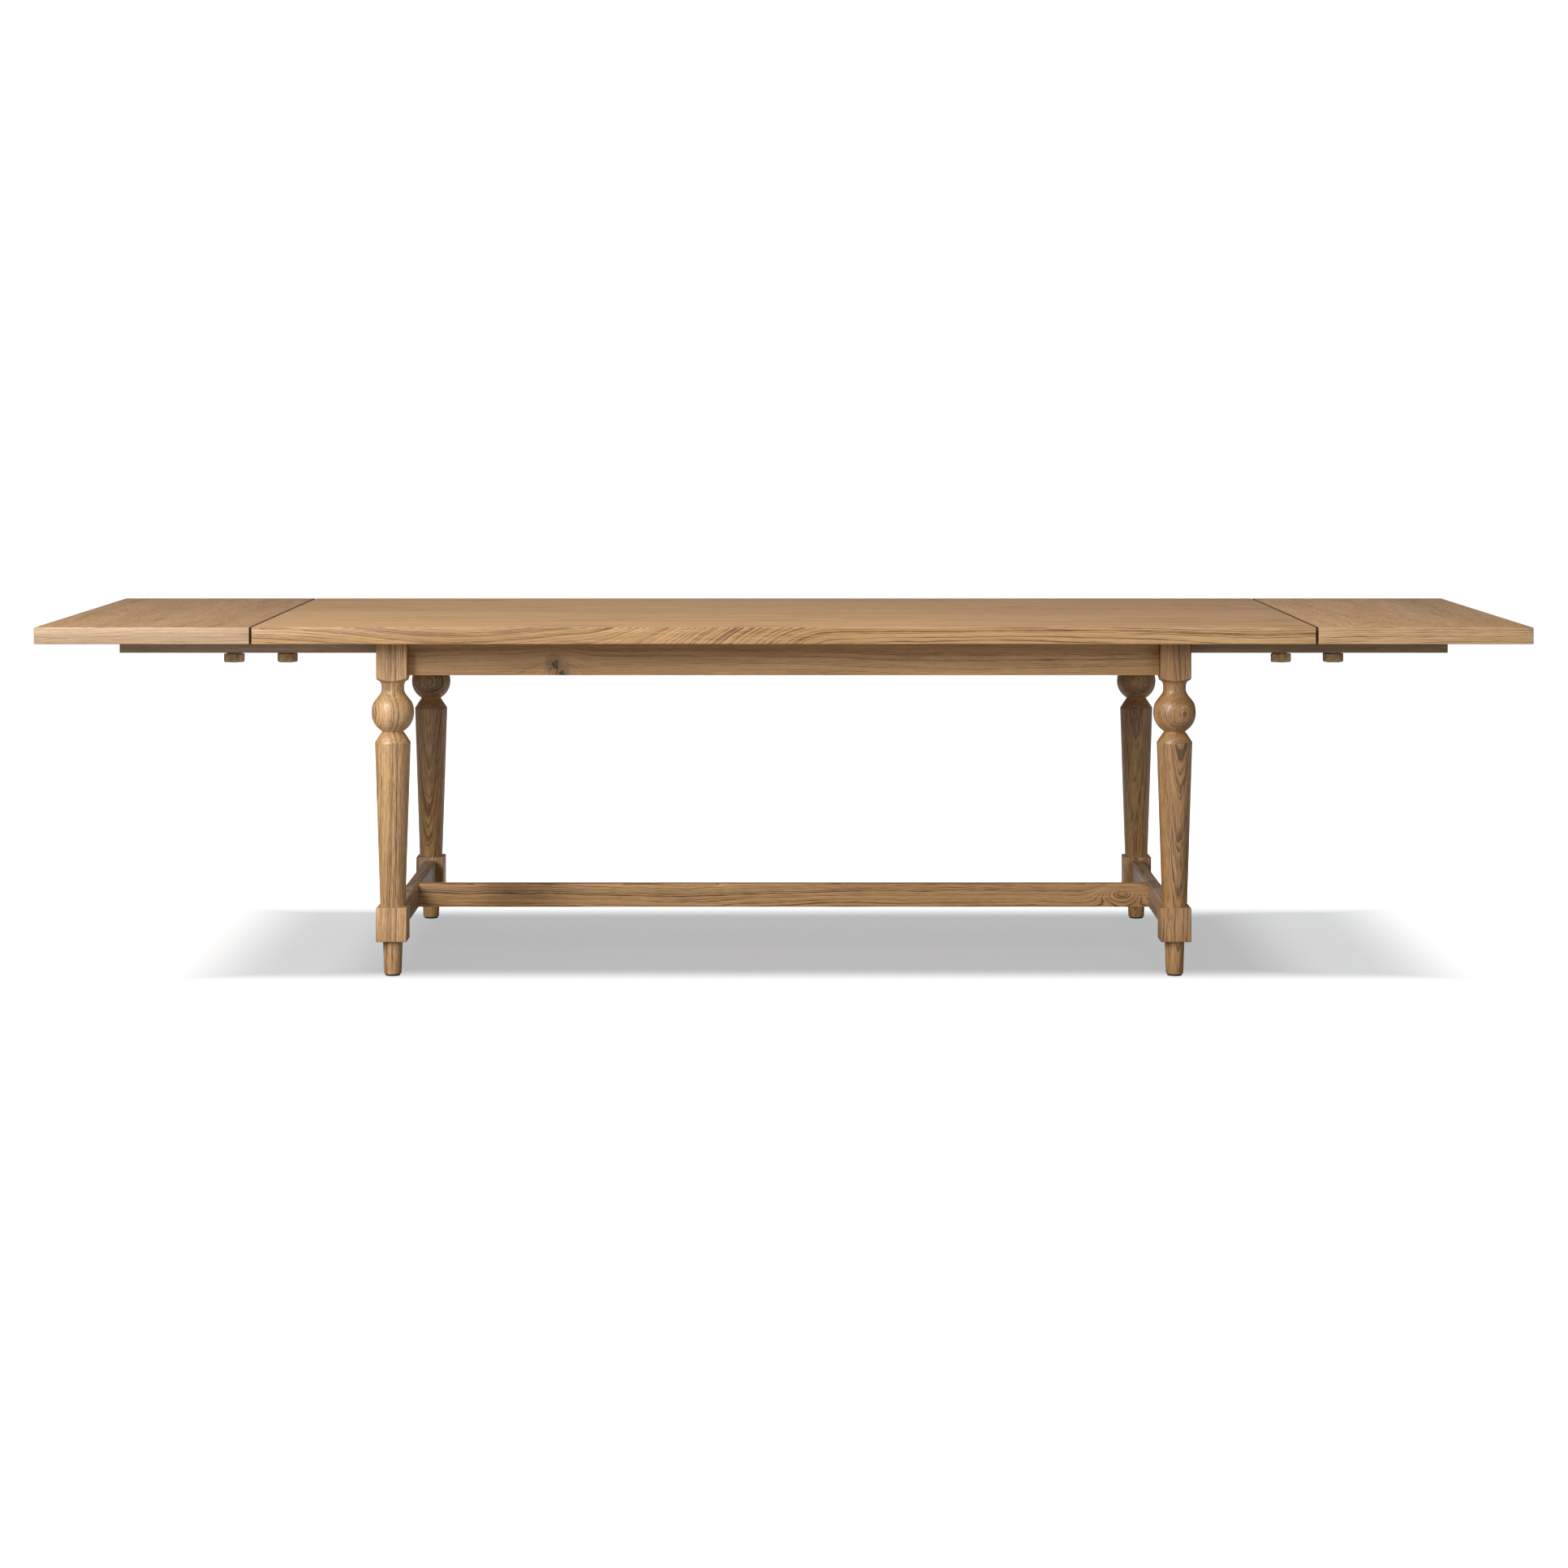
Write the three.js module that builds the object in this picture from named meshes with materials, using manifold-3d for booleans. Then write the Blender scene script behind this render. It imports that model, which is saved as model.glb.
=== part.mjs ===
// Extendable farmhouse dining table in oak, with both end leaves fitted.
// Units are millimetres. +X runs along the table, +Y away from the front edge, +Z up.
// The origin is on the floor under the middle of the table.
import * as THREE from "three";
import { mergeVertices } from "three/addons/utils/BufferGeometryUtils.js";
import Module from "manifold-3d";

const wasm = await Module();
wasm.setup();

// ---- Driving dimensions ----
const TABLE_LENGTH = 3200; // both leaves fitted
const TABLE_WIDTH = 1067;
const TABLE_HEIGHT = 760;
const TOP_THICKNESS = 36;
const MAIN_TOP_LENGTH = 2274;
const LEAF_JOINT = 2; // open line between a leaf and the main top

const LEG_X = 846; // leg axis from the table's middle
const LEG_Y = 419.5;
const LEG_SQUARE = 66; // side of the square blocks
const LOWER_BLOCK = [76, 149.5]; // floor to its bottom and top faces
const GLIDE_THICKNESS = 3;

const APRON_HEIGHT = 75;
const APRON_THICKNESS = 25;
const APRON_SETBACK = 30; // apron face behind the leg's outer face

const STRETCHER_Z = [89, 141.5];
const STRETCHER_THICKNESS = 30;
const TENON = { length: 20, thickness: 12, height: 36 };

const RAIL_Y = 361.5; // middle of each slide rail
const RAIL_WIDTH = 40;
const RAIL_HEIGHT = 29;
const RAIL_X = [520, 1445]; // inner and outer end, pulled out
const RAIL_PLAY = 0.5; // above, below and beside a rail

const BRACE_X = 560; // cross brace that guides the rails' inner ends
const BRACE_HEIGHT = 55;

const KNOB_FROM_JOINT = { top: -54, leaf: 61 }; // along X, from the main top's end
const KNOB_RADIUS = 20.7; // mean of the lobed outline
const KNOB_LOBE_DEPTH = 2.5;
const KNOB_LOBES = 5;
const KNOB_HEIGHT = 19;
const KNOB_EDGE = 3; // rounding of the knob's lower edge
const KNOB_TURNED = { top: 14, leaf: -9 }; // degrees that the lobes are turned

const STUD_RADIUS = 4; // M8
const STUD_IN_KNOB = 12;
const STUD_IN_TOP = 17;
const WASHER = { outer: 11, thickness: 1.5 };
const PIN = { radius: 5, length: 52, y: 250 }; // leaf alignment pins

const CORNER_BLOCK = { reach: 110, thickness: 30, height: 38, aboveApronBottom: 2 };
const BOLT = { radius: 4, head: 6.5, headHeight: 5.5, inLeg: 40 };

const TOUCH = 0.3; // gap kept where two pieces meet
const ROUND_STEPS = 24;
const SMALL_ROUND_STEPS = 14;

// ---- Levels worked out from the driving dimensions ----
const TOP_UNDERSIDE = TABLE_HEIGHT - TOP_THICKNESS;
const FRAME_TOP = TOP_UNDERSIDE - TOUCH;
const APRON_BOTTOM = TOP_UNDERSIDE - APRON_HEIGHT;
const RAIL_TOP = TOP_UNDERSIDE - RAIL_PLAY;
const RAIL_BOTTOM = RAIL_TOP - RAIL_HEIGHT;
const JOINT_X = MAIN_TOP_LENGTH / 2;
const HALF_SQUARE = LEG_SQUARE / 2;
const APRON_FACE_X = LEG_X + HALF_SQUARE - APRON_SETBACK;
const APRON_FACE_Y = LEG_Y + HALF_SQUARE - APRON_SETBACK;
const APRON_BACK_X = APRON_FACE_X - APRON_THICKNESS;
const APRON_BACK_Y = APRON_FACE_Y - APRON_THICKNESS;
const WASHER_TOP = RAIL_BOTTOM - TOUCH;
const KNOB_TOP = WASHER_TOP - WASHER.thickness - TOUCH;

const SIDES = { left: -1, right: 1 };
const DEPTHS = { front: -1, back: 1 };

// ---- Materials ----
const oakTop = new THREE.MeshStandardMaterial({ color: 0xc09a6b, roughness: 0.55, metalness: 0 });
const oakBase = new THREE.MeshStandardMaterial({ color: 0xa67c4c, roughness: 0.55, metalness: 0 });
const oakRail = new THREE.MeshStandardMaterial({ color: 0x7c6449, roughness: 0.65, metalness: 0 });
const knobWood = new THREE.MeshStandardMaterial({ color: 0x70502d, roughness: 0.5, metalness: 0 });
const steel = new THREE.MeshStandardMaterial({ color: 0x9a9a98, roughness: 0.35, metalness: 1 });
const glidePlastic = new THREE.MeshStandardMaterial({ color: 0x3b3027, roughness: 0.7, metalness: 0 });

// ---- Solids ----
// A three.js geometry as a manifold-3d solid.
function solid(geometry) {
  const bare = new THREE.BufferGeometry();
  bare.setAttribute("position", geometry.getAttribute("position"));
  if (geometry.index) bare.setIndex(geometry.index);
  const merged = mergeVertices(bare, 1e-4);
  return new wasm.Manifold(
    new wasm.Mesh({
      numProp: 3,
      vertProperties: new Float32Array(merged.attributes.position.array),
      triVerts: new Uint32Array(merged.index.array),
    }),
  );
}

// A manifold-3d solid as a three.js geometry.
function geometryOf(made) {
  const { numProp, vertProperties, triVerts, numVert } = made.getMesh();
  const corners = new Float32Array(numVert * 3);
  for (let i = 0; i < numVert; i++) {
    corners.set(vertProperties.subarray(i * numProp, i * numProp + 3), i * 3);
  }
  const geometry = new THREE.BufferGeometry();
  geometry.setAttribute("position", new THREE.BufferAttribute(corners, 3));
  geometry.setIndex(new THREE.BufferAttribute(triVerts, 1));
  return geometry;
}

// A box between two limits on each axis.
function slab([x0, x1], [y0, y1], [z0, z1]) {
  const box = new THREE.BoxGeometry(Math.abs(x1 - x0), Math.abs(y1 - y0), Math.abs(z1 - z0));
  return box.translate((x0 + x1) / 2, (y0 + y1) / 2, (z0 + z1) / 2);
}

// A round rod along Z.
function rod(radius, [z0, z1], steps = SMALL_ROUND_STEPS) {
  const cylinder = new THREE.CylinderGeometry(radius, radius, z1 - z0, steps);
  return cylinder.rotateX(Math.PI / 2).translate(0, 0, (z0 + z1) / 2);
}

// A body of revolution about Z, from [radius, height] pairs that run upwards from the axis to the axis.
function turned(profile, steps = ROUND_STEPS) {
  const points = profile.map(([radius, height]) => new THREE.Vector2(radius, height));
  return new THREE.LatheGeometry(points, steps).rotateX(Math.PI / 2);
}

// A flat outline in X and Y, made thick between two heights.
function extruded(outline, [z0, z1], bevel = 0) {
  const geometry = new THREE.ExtrudeGeometry(outline, {
    depth: z1 - z0 - bevel,
    bevelEnabled: bevel > 0,
    bevelSize: bevel,
    bevelOffset: -bevel,
    bevelThickness: bevel,
    bevelSegments: 1,
    curveSegments: SMALL_ROUND_STEPS / 2,
  });
  return geometry.translate(0, 0, z0 + bevel);
}

const table = new THREE.Group();

function place(name, geometry, material, x = 0, y = 0, z = 0) {
  const mesh = new THREE.Mesh(geometry, material);
  mesh.name = name;
  mesh.position.set(x, y, z);
  table.add(mesh);
  return mesh;
}

// ---- Main top and leaves ----
// Blind holes from below for the knobs' studs, and in the ends for the alignment pins.
function studHole(x, y) {
  return solid(rod(STUD_RADIUS + TOUCH, [TOP_UNDERSIDE - 1, TOP_UNDERSIDE + STUD_IN_TOP + 3]).translate(x, y, 0));
}

function pinHole(x, y) {
  const bore = rod(PIN.radius + TOUCH, [-PIN.length / 2 - TOUCH, PIN.length / 2 + TOUCH]);
  return solid(bore.rotateY(Math.PI / 2).translate(x, y, TABLE_HEIGHT - TOP_THICKNESS / 2));
}

function pinX(side) {
  return side * (JOINT_X + LEAF_JOINT / 2);
}

function knobX(kind, side) {
  return side * (JOINT_X + KNOB_FROM_JOINT[kind]);
}

function board(xLimits) {
  return solid(slab(xLimits, [-TABLE_WIDTH / 2, TABLE_WIDTH / 2], [TOP_UNDERSIDE, TABLE_HEIGHT]));
}

function makeTops() {
  let main = board([-JOINT_X, JOINT_X]);
  for (const [sideName, side] of Object.entries(SIDES)) {
    let leaf = board([side * (JOINT_X + LEAF_JOINT), (side * TABLE_LENGTH) / 2]);
    for (const [depthName, depth] of Object.entries(DEPTHS)) {
      main = main.subtract(studHole(knobX("top", side), depth * RAIL_Y));
      main = main.subtract(pinHole(pinX(side), depth * PIN.y));
      leaf = leaf.subtract(studHole(knobX("leaf", side), depth * RAIL_Y));
      leaf = leaf.subtract(pinHole(pinX(side), depth * PIN.y));
      const pin = rod(PIN.radius, [-PIN.length / 2, PIN.length / 2]).rotateY(Math.PI / 2);
      const pinHeight = TABLE_HEIGHT - TOP_THICKNESS / 2;
      place(`leaf_pin_${depthName}_${sideName}`, pin, oakBase, pinX(side), depth * PIN.y, pinHeight);
    }
    place(`leaf_${sideName}`, geometryOf(leaf), oakTop);
  }
  place("main_top", geometryOf(main), oakTop);
}

// ---- Legs ----
const BALL = { z: 568, radius: 46 };
const NECK_RADIUS = 24.6;

// Points of an arc of the ball, between two heights.
function ballArc(fromZ, toZ, count) {
  return Array.from({ length: count + 1 }, (_, i) => {
    const z = fromZ + ((toZ - fromZ) * i) / count;
    return [Math.sqrt(BALL.radius ** 2 - (z - BALL.z) ** 2), z];
  });
}

// The turned post, from the foot up to the neck under the square head.
function postProfile() {
  const footBottom = GLIDE_THICKNESS + TOUCH;
  return [
    [0, footBottom],
    [16.5, footBottom],
    [18.8, footBottom + 3],
    [21.3, LOWER_BLOCK[0] + 1],
    [21.3, LOWER_BLOCK[1] - 1],
    [26.8, LOWER_BLOCK[1] - 1],
    [38.7, 498],
    [38.7, 504],
    [31.4, 515],
    [26, 524],
    [NECK_RADIUS, 529],
    ...ballArc(533, 602, 12),
    [27.6, 609],
    [NECK_RADIUS, 616],
    [NECK_RADIUS, 622],
    [0, 622],
  ];
}

// The square head's lower end, turned away to the neck.
function headTurning() {
  return [
    [0, 620],
    [NECK_RADIUS, 620],
    [26.6, 630],
    [HALF_SQUARE, 638.5],
    [HALF_SQUARE * 1.5, 648],
    [HALF_SQUARE * 1.5, FRAME_TOP + 5],
    [0, FRAME_TOP + 5],
  ];
}

// A leg about its own axis. towardX and towardY say which way the table's middle lies.
function legSolid(towardX, towardY) {
  const square = [-HALF_SQUARE, HALF_SQUARE];
  const head = solid(slab(square, square, [619, FRAME_TOP])).intersect(solid(turned(headTurning())));
  const lowerBlock = solid(slab(square, square, LOWER_BLOCK));
  const post = solid(turned(postProfile()));
  const mortiseDepth = HALF_SQUARE - TENON.length - 2 * TOUCH;
  const mortise = slab(
    [-TENON.thickness / 2 - TOUCH, TENON.thickness / 2 + TOUCH],
    [towardY * mortiseDepth, towardY * (HALF_SQUARE + 1)],
    tenonHeights(TOUCH),
  );
  return post.add(head).add(lowerBlock).subtract(solid(mortise)).subtract(solid(boltHole(towardX, towardY)));
}

// The hole for the corner bolt, drilled diagonally into the head's inner corner.
function boltHole(towardX, towardY) {
  const corner = HALF_SQUARE * Math.SQRT2;
  const hole = rod(BOLT.radius + TOUCH, [corner - BOLT.inLeg - 1, corner + 8]);
  return hole
    .rotateY(Math.PI / 2)
    .rotateZ(Math.atan2(towardY, towardX))
    .translate(0, 0, boltHeight());
}

function boltHeight() {
  return APRON_BOTTOM + CORNER_BLOCK.aboveApronBottom + CORNER_BLOCK.height / 2;
}

function tenonHeights(extra = 0) {
  const middle = (STRETCHER_Z[0] + STRETCHER_Z[1]) / 2;
  return [middle - TENON.height / 2 - extra, middle + TENON.height / 2 + extra];
}

function makeLegs() {
  for (const [sideName, side] of Object.entries(SIDES)) {
    for (const [depthName, depth] of Object.entries(DEPTHS)) {
      const corner = `${depthName}_${sideName}`;
      const x = side * LEG_X;
      const y = depth * LEG_Y;
      place(`leg_${corner}`, geometryOf(legSolid(-side, -depth)), oakBase, x, y);
      place(`foot_glide_${corner}`, rod(16, [0, GLIDE_THICKNESS], ROUND_STEPS), glidePlastic, x, y);
    }
  }
}

// ---- Aprons, braces and corner blocks ----
function makeLongAprons() {
  const halfLength = LEG_X - HALF_SQUARE - TOUCH;
  for (const [depthName, depth] of Object.entries(DEPTHS)) {
    const yLimits = [depth * APRON_BACK_Y, depth * APRON_FACE_Y];
    place(`apron_${depthName}`, slab([-halfLength, halfLength], yLimits, [APRON_BOTTOM, FRAME_TOP]), oakBase);
  }
}

// A board across the table, notched at the top where the slide rails pass.
function notchedBoard(xLimits, halfWidth, zLimits, notchOuter) {
  let made = solid(slab(xLimits, [-halfWidth, halfWidth], zLimits));
  const notchInner = RAIL_Y - RAIL_WIDTH / 2 - RAIL_PLAY;
  for (const depth of Object.values(DEPTHS)) {
    const notch = slab(
      [Math.min(...xLimits) - 1, Math.max(...xLimits) + 1],
      [depth * notchInner, depth * notchOuter],
      [RAIL_BOTTOM - RAIL_PLAY, TABLE_HEIGHT],
    );
    made = made.subtract(solid(notch));
  }
  return geometryOf(made);
}

function makeCrossBoards() {
  const betweenLegs = LEG_Y - HALF_SQUARE - TOUCH;
  const betweenAprons = APRON_BACK_Y - TOUCH;
  const railOuter = RAIL_Y + RAIL_WIDTH / 2 + RAIL_PLAY;
  for (const [sideName, side] of Object.entries(SIDES)) {
    const apronX = [side * APRON_BACK_X, side * APRON_FACE_X];
    const apron = notchedBoard(apronX, betweenLegs, [APRON_BOTTOM, FRAME_TOP], betweenLegs + 1);
    place(`apron_${sideName}`, apron, oakBase);
    const braceX = [BRACE_X - APRON_THICKNESS / 2, BRACE_X + APRON_THICKNESS / 2].map((x) => side * x);
    const brace = notchedBoard(braceX, betweenAprons, [FRAME_TOP - BRACE_HEIGHT, FRAME_TOP], railOuter);
    place(`brace_${sideName}`, brace, oakBase);
  }
}

// A diagonal block in the corner of two aprons, drawn for the corner at +X and +Y, with its bolt hole.
const innerDiagonal = APRON_BACK_X + APRON_BACK_Y - CORNER_BLOCK.reach;
const outerDiagonal = innerDiagonal + CORNER_BLOCK.thickness * Math.SQRT2;

function cornerBlock() {
  const y = APRON_BACK_Y - TOUCH;
  const x = APRON_BACK_X - TOUCH;
  const outline = new THREE.Shape([
    new THREE.Vector2(innerDiagonal - y, y),
    new THREE.Vector2(x, innerDiagonal - x),
    new THREE.Vector2(x, outerDiagonal - x),
    new THREE.Vector2(outerDiagonal - y, y),
  ]);
  const z0 = APRON_BOTTOM + CORNER_BLOCK.aboveApronBottom;
  const hole = alongCornerBolt(rod(BOLT.radius + TOUCH, [-10, CORNER_BLOCK.thickness + 10]));
  return solid(extruded(outline, [z0, z0 + CORNER_BLOCK.height])).subtract(solid(hole));
}

// Moves a piece made along Z onto the corner bolt's line, with Z = 0 on the block's inner face.
function alongCornerBolt(geometry) {
  const x = (innerDiagonal + LEG_X - LEG_Y) / 2;
  return geometry
    .rotateY(Math.PI / 2)
    .rotateZ(Math.PI / 4)
    .translate(x, x - LEG_X + LEG_Y, boltHeight());
}

function cornerBolt() {
  const legCorner = LEG_X + LEG_Y - LEG_SQUARE;
  const shankEnd = (legCorner - innerDiagonal) / Math.SQRT2 + BOLT.inLeg;
  const shank = solid(alongCornerBolt(rod(BOLT.radius, [-TOUCH - 1, shankEnd])));
  const head = solid(alongCornerBolt(rod(BOLT.head, [-TOUCH - BOLT.headHeight, -TOUCH], 6)));
  return shank.add(head);
}

function makeCorners() {
  for (const [sideName, side] of Object.entries(SIDES)) {
    for (const [depthName, depth] of Object.entries(DEPTHS)) {
      const corner = `${depthName}_${sideName}`;
      const mirrored = [side, depth, 1];
      place(`corner_block_${corner}`, geometryOf(cornerBlock().scale(mirrored)), oakBase);
      place(`corner_bolt_${corner}`, geometryOf(cornerBolt().scale(mirrored)), steel);
    }
  }
}

// ---- Stretchers ----
function makeStretchers() {
  const half = STRETCHER_THICKNESS / 2;
  const halfTenon = TENON.thickness / 2;
  const endReach = LEG_Y - HALF_SQUARE - TOUCH;
  const centreReach = LEG_X - half - TOUCH;
  for (const [sideName, side] of Object.entries(SIDES)) {
    const x = side * LEG_X;
    const tenonEnd = endReach + TENON.length;
    const mortise = slab(
      [side * (centreReach - 1), side * (centreReach + TENON.length + 2 * TOUCH)],
      [-halfTenon - TOUCH, halfTenon + TOUCH],
      tenonHeights(TOUCH),
    );
    const made = solid(slab([x - half, x + half], [-endReach, endReach], STRETCHER_Z))
      .add(solid(slab([x - halfTenon, x + halfTenon], [-tenonEnd, tenonEnd], tenonHeights())))
      .subtract(solid(mortise));
    place(`stretcher_${sideName}`, geometryOf(made), oakBase);
  }
  const tenonEnd = centreReach + TENON.length;
  const centre = solid(slab([-centreReach, centreReach], [-half, half], STRETCHER_Z)).add(
    solid(slab([-tenonEnd, tenonEnd], [-halfTenon, halfTenon], tenonHeights())),
  );
  place("stretcher_centre", geometryOf(centre), oakBase);
}

// ---- Slide rails ----
// A rail is a fork: its slot runs from the main top's knob out through the outer end.
function railOutline() {
  const [inner, outer] = RAIL_X;
  const half = RAIL_WIDTH / 2;
  const slot = STUD_RADIUS + 0.75;
  const slotEnd = knobX("top", 1) - 1;
  const outline = new THREE.Shape();
  outline.moveTo(inner, -half);
  outline.lineTo(outer, -half);
  outline.lineTo(outer, -slot);
  outline.lineTo(slotEnd, -slot);
  outline.absarc(slotEnd, 0, slot, -Math.PI / 2, Math.PI / 2, true);
  outline.lineTo(outer, slot);
  outline.lineTo(outer, half);
  outline.lineTo(inner, half);
  outline.closePath();
  return outline;
}

function makeRails() {
  const right = solid(extruded(railOutline(), [RAIL_BOTTOM, RAIL_TOP]));
  for (const [sideName, side] of Object.entries(SIDES)) {
    for (const [depthName, depth] of Object.entries(DEPTHS)) {
      const rail = geometryOf(right.scale([side, 1, 1]));
      place(`slide_rail_${depthName}_${sideName}`, rail, oakRail, 0, depth * RAIL_Y);
    }
  }
}

// ---- Knobs, studs and washers ----
function knobOutline() {
  const steps = KNOB_LOBES * 9;
  const points = Array.from({ length: steps }, (_, i) => {
    const angle = (2 * Math.PI * i) / steps;
    const radius = KNOB_RADIUS + KNOB_LOBE_DEPTH * Math.cos(KNOB_LOBES * angle);
    return new THREE.Vector2(radius * Math.cos(angle), radius * Math.sin(angle));
  });
  return new THREE.Shape(points);
}

// The lobed knob, with its rounded edge below and a blind hole from above for the stud.
function knobSolid() {
  const body = solid(extruded(knobOutline(), [-KNOB_HEIGHT, KNOB_EDGE], KNOB_EDGE));
  const flatTop = solid(slab([-40, 40], [-40, 40], [0, 40]));
  const hole = solid(rod(STUD_RADIUS + TOUCH, [-STUD_IN_KNOB - TOUCH, 1]));
  return body.subtract(flatTop).subtract(hole);
}

function washerSolid() {
  const disc = solid(rod(WASHER.outer, [-WASHER.thickness, 0], ROUND_STEPS));
  return disc.subtract(solid(rod(STUD_RADIUS + TOUCH, [-WASHER.thickness - 1, 1])));
}

function makeKnobs() {
  const knob = knobSolid();
  const washer = washerSolid();
  const stud = rod(STUD_RADIUS, [KNOB_TOP - STUD_IN_KNOB, TOP_UNDERSIDE + STUD_IN_TOP]);
  for (const [sideName, side] of Object.entries(SIDES)) {
    for (const [depthName, depth] of Object.entries(DEPTHS)) {
      for (const kind of Object.keys(KNOB_FROM_JOINT)) {
        const where = `${depthName}_${sideName}`;
        const x = knobX(kind, side);
        const y = depth * RAIL_Y;
        const turn = KNOB_TURNED[kind] * side * depth;
        place(`${kind}_knob_${where}`, geometryOf(knob.rotate([0, 0, turn])), knobWood, x, y, KNOB_TOP);
        place(`${kind}_washer_${where}`, geometryOf(washer), steel, x, y, WASHER_TOP);
        place(`${kind}_stud_${where}`, stud, steel, x, y);
      }
    }
  }
}

makeTops();
makeLegs();
makeLongAprons();
makeCrossBoards();
makeCorners();
makeStretchers();
makeRails();
makeKnobs();

export default table;
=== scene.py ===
# Looks of the extendable oak dining table. All sizes are in metres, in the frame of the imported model:
# +X along the table, +Y away from the front edge, +Z up, the origin on the floor under its middle.
import math
import bmesh
import bpy
from mathutils import Matrix, Vector


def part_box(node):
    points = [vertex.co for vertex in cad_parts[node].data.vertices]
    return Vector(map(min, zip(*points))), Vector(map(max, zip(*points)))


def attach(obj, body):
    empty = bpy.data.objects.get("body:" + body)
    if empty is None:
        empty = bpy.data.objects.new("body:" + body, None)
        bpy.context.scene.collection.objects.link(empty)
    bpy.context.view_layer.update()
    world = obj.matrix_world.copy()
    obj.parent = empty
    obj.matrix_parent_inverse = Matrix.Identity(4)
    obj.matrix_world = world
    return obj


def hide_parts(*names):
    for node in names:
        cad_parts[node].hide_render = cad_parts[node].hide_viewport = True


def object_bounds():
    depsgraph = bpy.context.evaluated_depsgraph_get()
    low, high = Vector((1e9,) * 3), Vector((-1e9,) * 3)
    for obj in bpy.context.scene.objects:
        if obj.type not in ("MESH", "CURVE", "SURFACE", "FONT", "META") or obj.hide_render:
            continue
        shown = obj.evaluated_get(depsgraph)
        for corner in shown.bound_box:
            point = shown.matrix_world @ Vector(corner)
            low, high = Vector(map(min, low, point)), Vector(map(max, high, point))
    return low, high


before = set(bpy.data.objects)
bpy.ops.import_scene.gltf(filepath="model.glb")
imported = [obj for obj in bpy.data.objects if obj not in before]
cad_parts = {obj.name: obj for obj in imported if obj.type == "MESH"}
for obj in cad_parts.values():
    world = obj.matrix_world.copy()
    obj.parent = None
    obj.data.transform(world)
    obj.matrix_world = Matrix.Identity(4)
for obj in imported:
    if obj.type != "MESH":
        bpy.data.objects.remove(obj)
cad_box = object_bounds()

SIDES = {"left": -1, "right": 1}
DEPTHS = {"front": -1, "back": 1}
CORNERS = [(depth, side) for side in SIDES for depth in DEPTHS]
MM = 0.001


def middle(node):
    low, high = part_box(node)
    return (low + high) / 2


# ---- Node trees -----------------------------------------------------------------------------------------
class Tree:
    """Adds nodes to a node tree. An input given as a socket is linked, and any other is a value."""

    def __init__(self, tree):
        self.tree = tree

    def add(self, kind, inputs=None, **settings):
        node = self.tree.nodes.new(kind)
        for name, value in settings.items():
            setattr(node, name, value)
        self.fill(node.inputs, inputs or {})
        return node

    def fill(self, sockets, values):
        for name, value in values.items():
            if isinstance(value, bpy.types.NodeSocket):
                self.tree.links.new(value, sockets[name])
            else:
                sockets[name].default_value = value

    def math(self, operation, *values):
        return self.add("ShaderNodeMath", dict(enumerate(values)), operation=operation).outputs[0]

    def vector(self, operation, *values):
        node = self.add("ShaderNodeVectorMath", dict(enumerate(values)), operation=operation)
        return node.outputs["Value" if operation == "LENGTH" else "Vector"]

    def noise(self, vector, detail=2.0):
        inputs = {"Vector": vector, "Scale": 1.0, "Detail": detail, "Roughness": 0.5}
        return self.add("ShaderNodeTexNoise", inputs)

    def range(self, value, low, high, to_low=0.0, to_high=1.0):
        inputs = {"Value": value, "From Min": low, "From Max": high, "To Min": to_low, "To Max": to_high}
        return self.add("ShaderNodeMapRange", inputs, clamp=True).outputs["Result"]

    def smooth(self, value, low, high):
        """An S-curve from 0 at low to 1 at high."""
        inputs = {"Value": value, "From Min": low, "From Max": high, "To Min": 0.0, "To Max": 1.0}
        node = self.add("ShaderNodeMapRange", inputs, interpolation_type="SMOOTHSTEP")
        return node.outputs["Result"]

    def ramp(self, value, stops):
        """stops are (position, brightness) pairs."""
        node = self.add("ShaderNodeValToRGB", {"Fac": value})
        elements = node.color_ramp.elements
        while len(elements) < len(stops):
            elements.new(0.5)
        for element, (position, level) in zip(elements, stops):
            element.position = position
            element.color = (level, level, level, 1)
        return node.outputs["Color"]

    def mix(self, factor, a, b, blend="MIX"):
        inputs = {0: factor, 6: a, 7: b}  # 6 and 7 are the node's colour sockets
        node = self.add("ShaderNodeMix", inputs, data_type="RGBA", blend_type=blend)
        return node.outputs[2]

    def mix_float(self, factor, a, b):
        return self.add("ShaderNodeMix", {0: factor, 2: a, 3: b}, data_type="FLOAT").outputs[0]

    def place(self):
        """The point in the piece's own frame, which is the shared frame at rest."""
        return self.add("ShaderNodeTexCoord").outputs["Object"]

    def split(self, vector):
        return self.add("ShaderNodeSeparateXYZ", {0: vector}).outputs

    def join(self, *values):
        return self.add("ShaderNodeCombineXYZ", dict(enumerate(values))).outputs[0]

    def chance(self, value):
        """Random outputs that depend on value alone."""
        return self.add("ShaderNodeTexWhiteNoise", {"W": value}, noise_dimensions="1D").outputs


def new_group(name, inputs, outputs):
    """A shader node group, from {name: (socket type, default)} for its inputs and its outputs.
    Returns its tree, the sockets that give its inputs and the sockets that take its outputs."""
    group = bpy.data.node_groups.new(name, "ShaderNodeTree")
    for direction, sockets in (("INPUT", inputs), ("OUTPUT", outputs)):
        for socket_name, (kind, default) in sockets.items():
            kind = "NodeSocket" + kind
            socket = group.interface.new_socket(socket_name, in_out=direction, socket_type=kind)
            if default is not None:
                socket.default_value = default
    tree = Tree(group)
    return tree, tree.add("NodeGroupInput").outputs, tree.add("NodeGroupOutput").inputs


def new_material(name):
    """An empty material, and its tree."""
    material = bpy.data.materials.new(name)
    material.use_nodes = True
    material.node_tree.nodes.clear()
    return material, Tree(material.node_tree)


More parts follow.
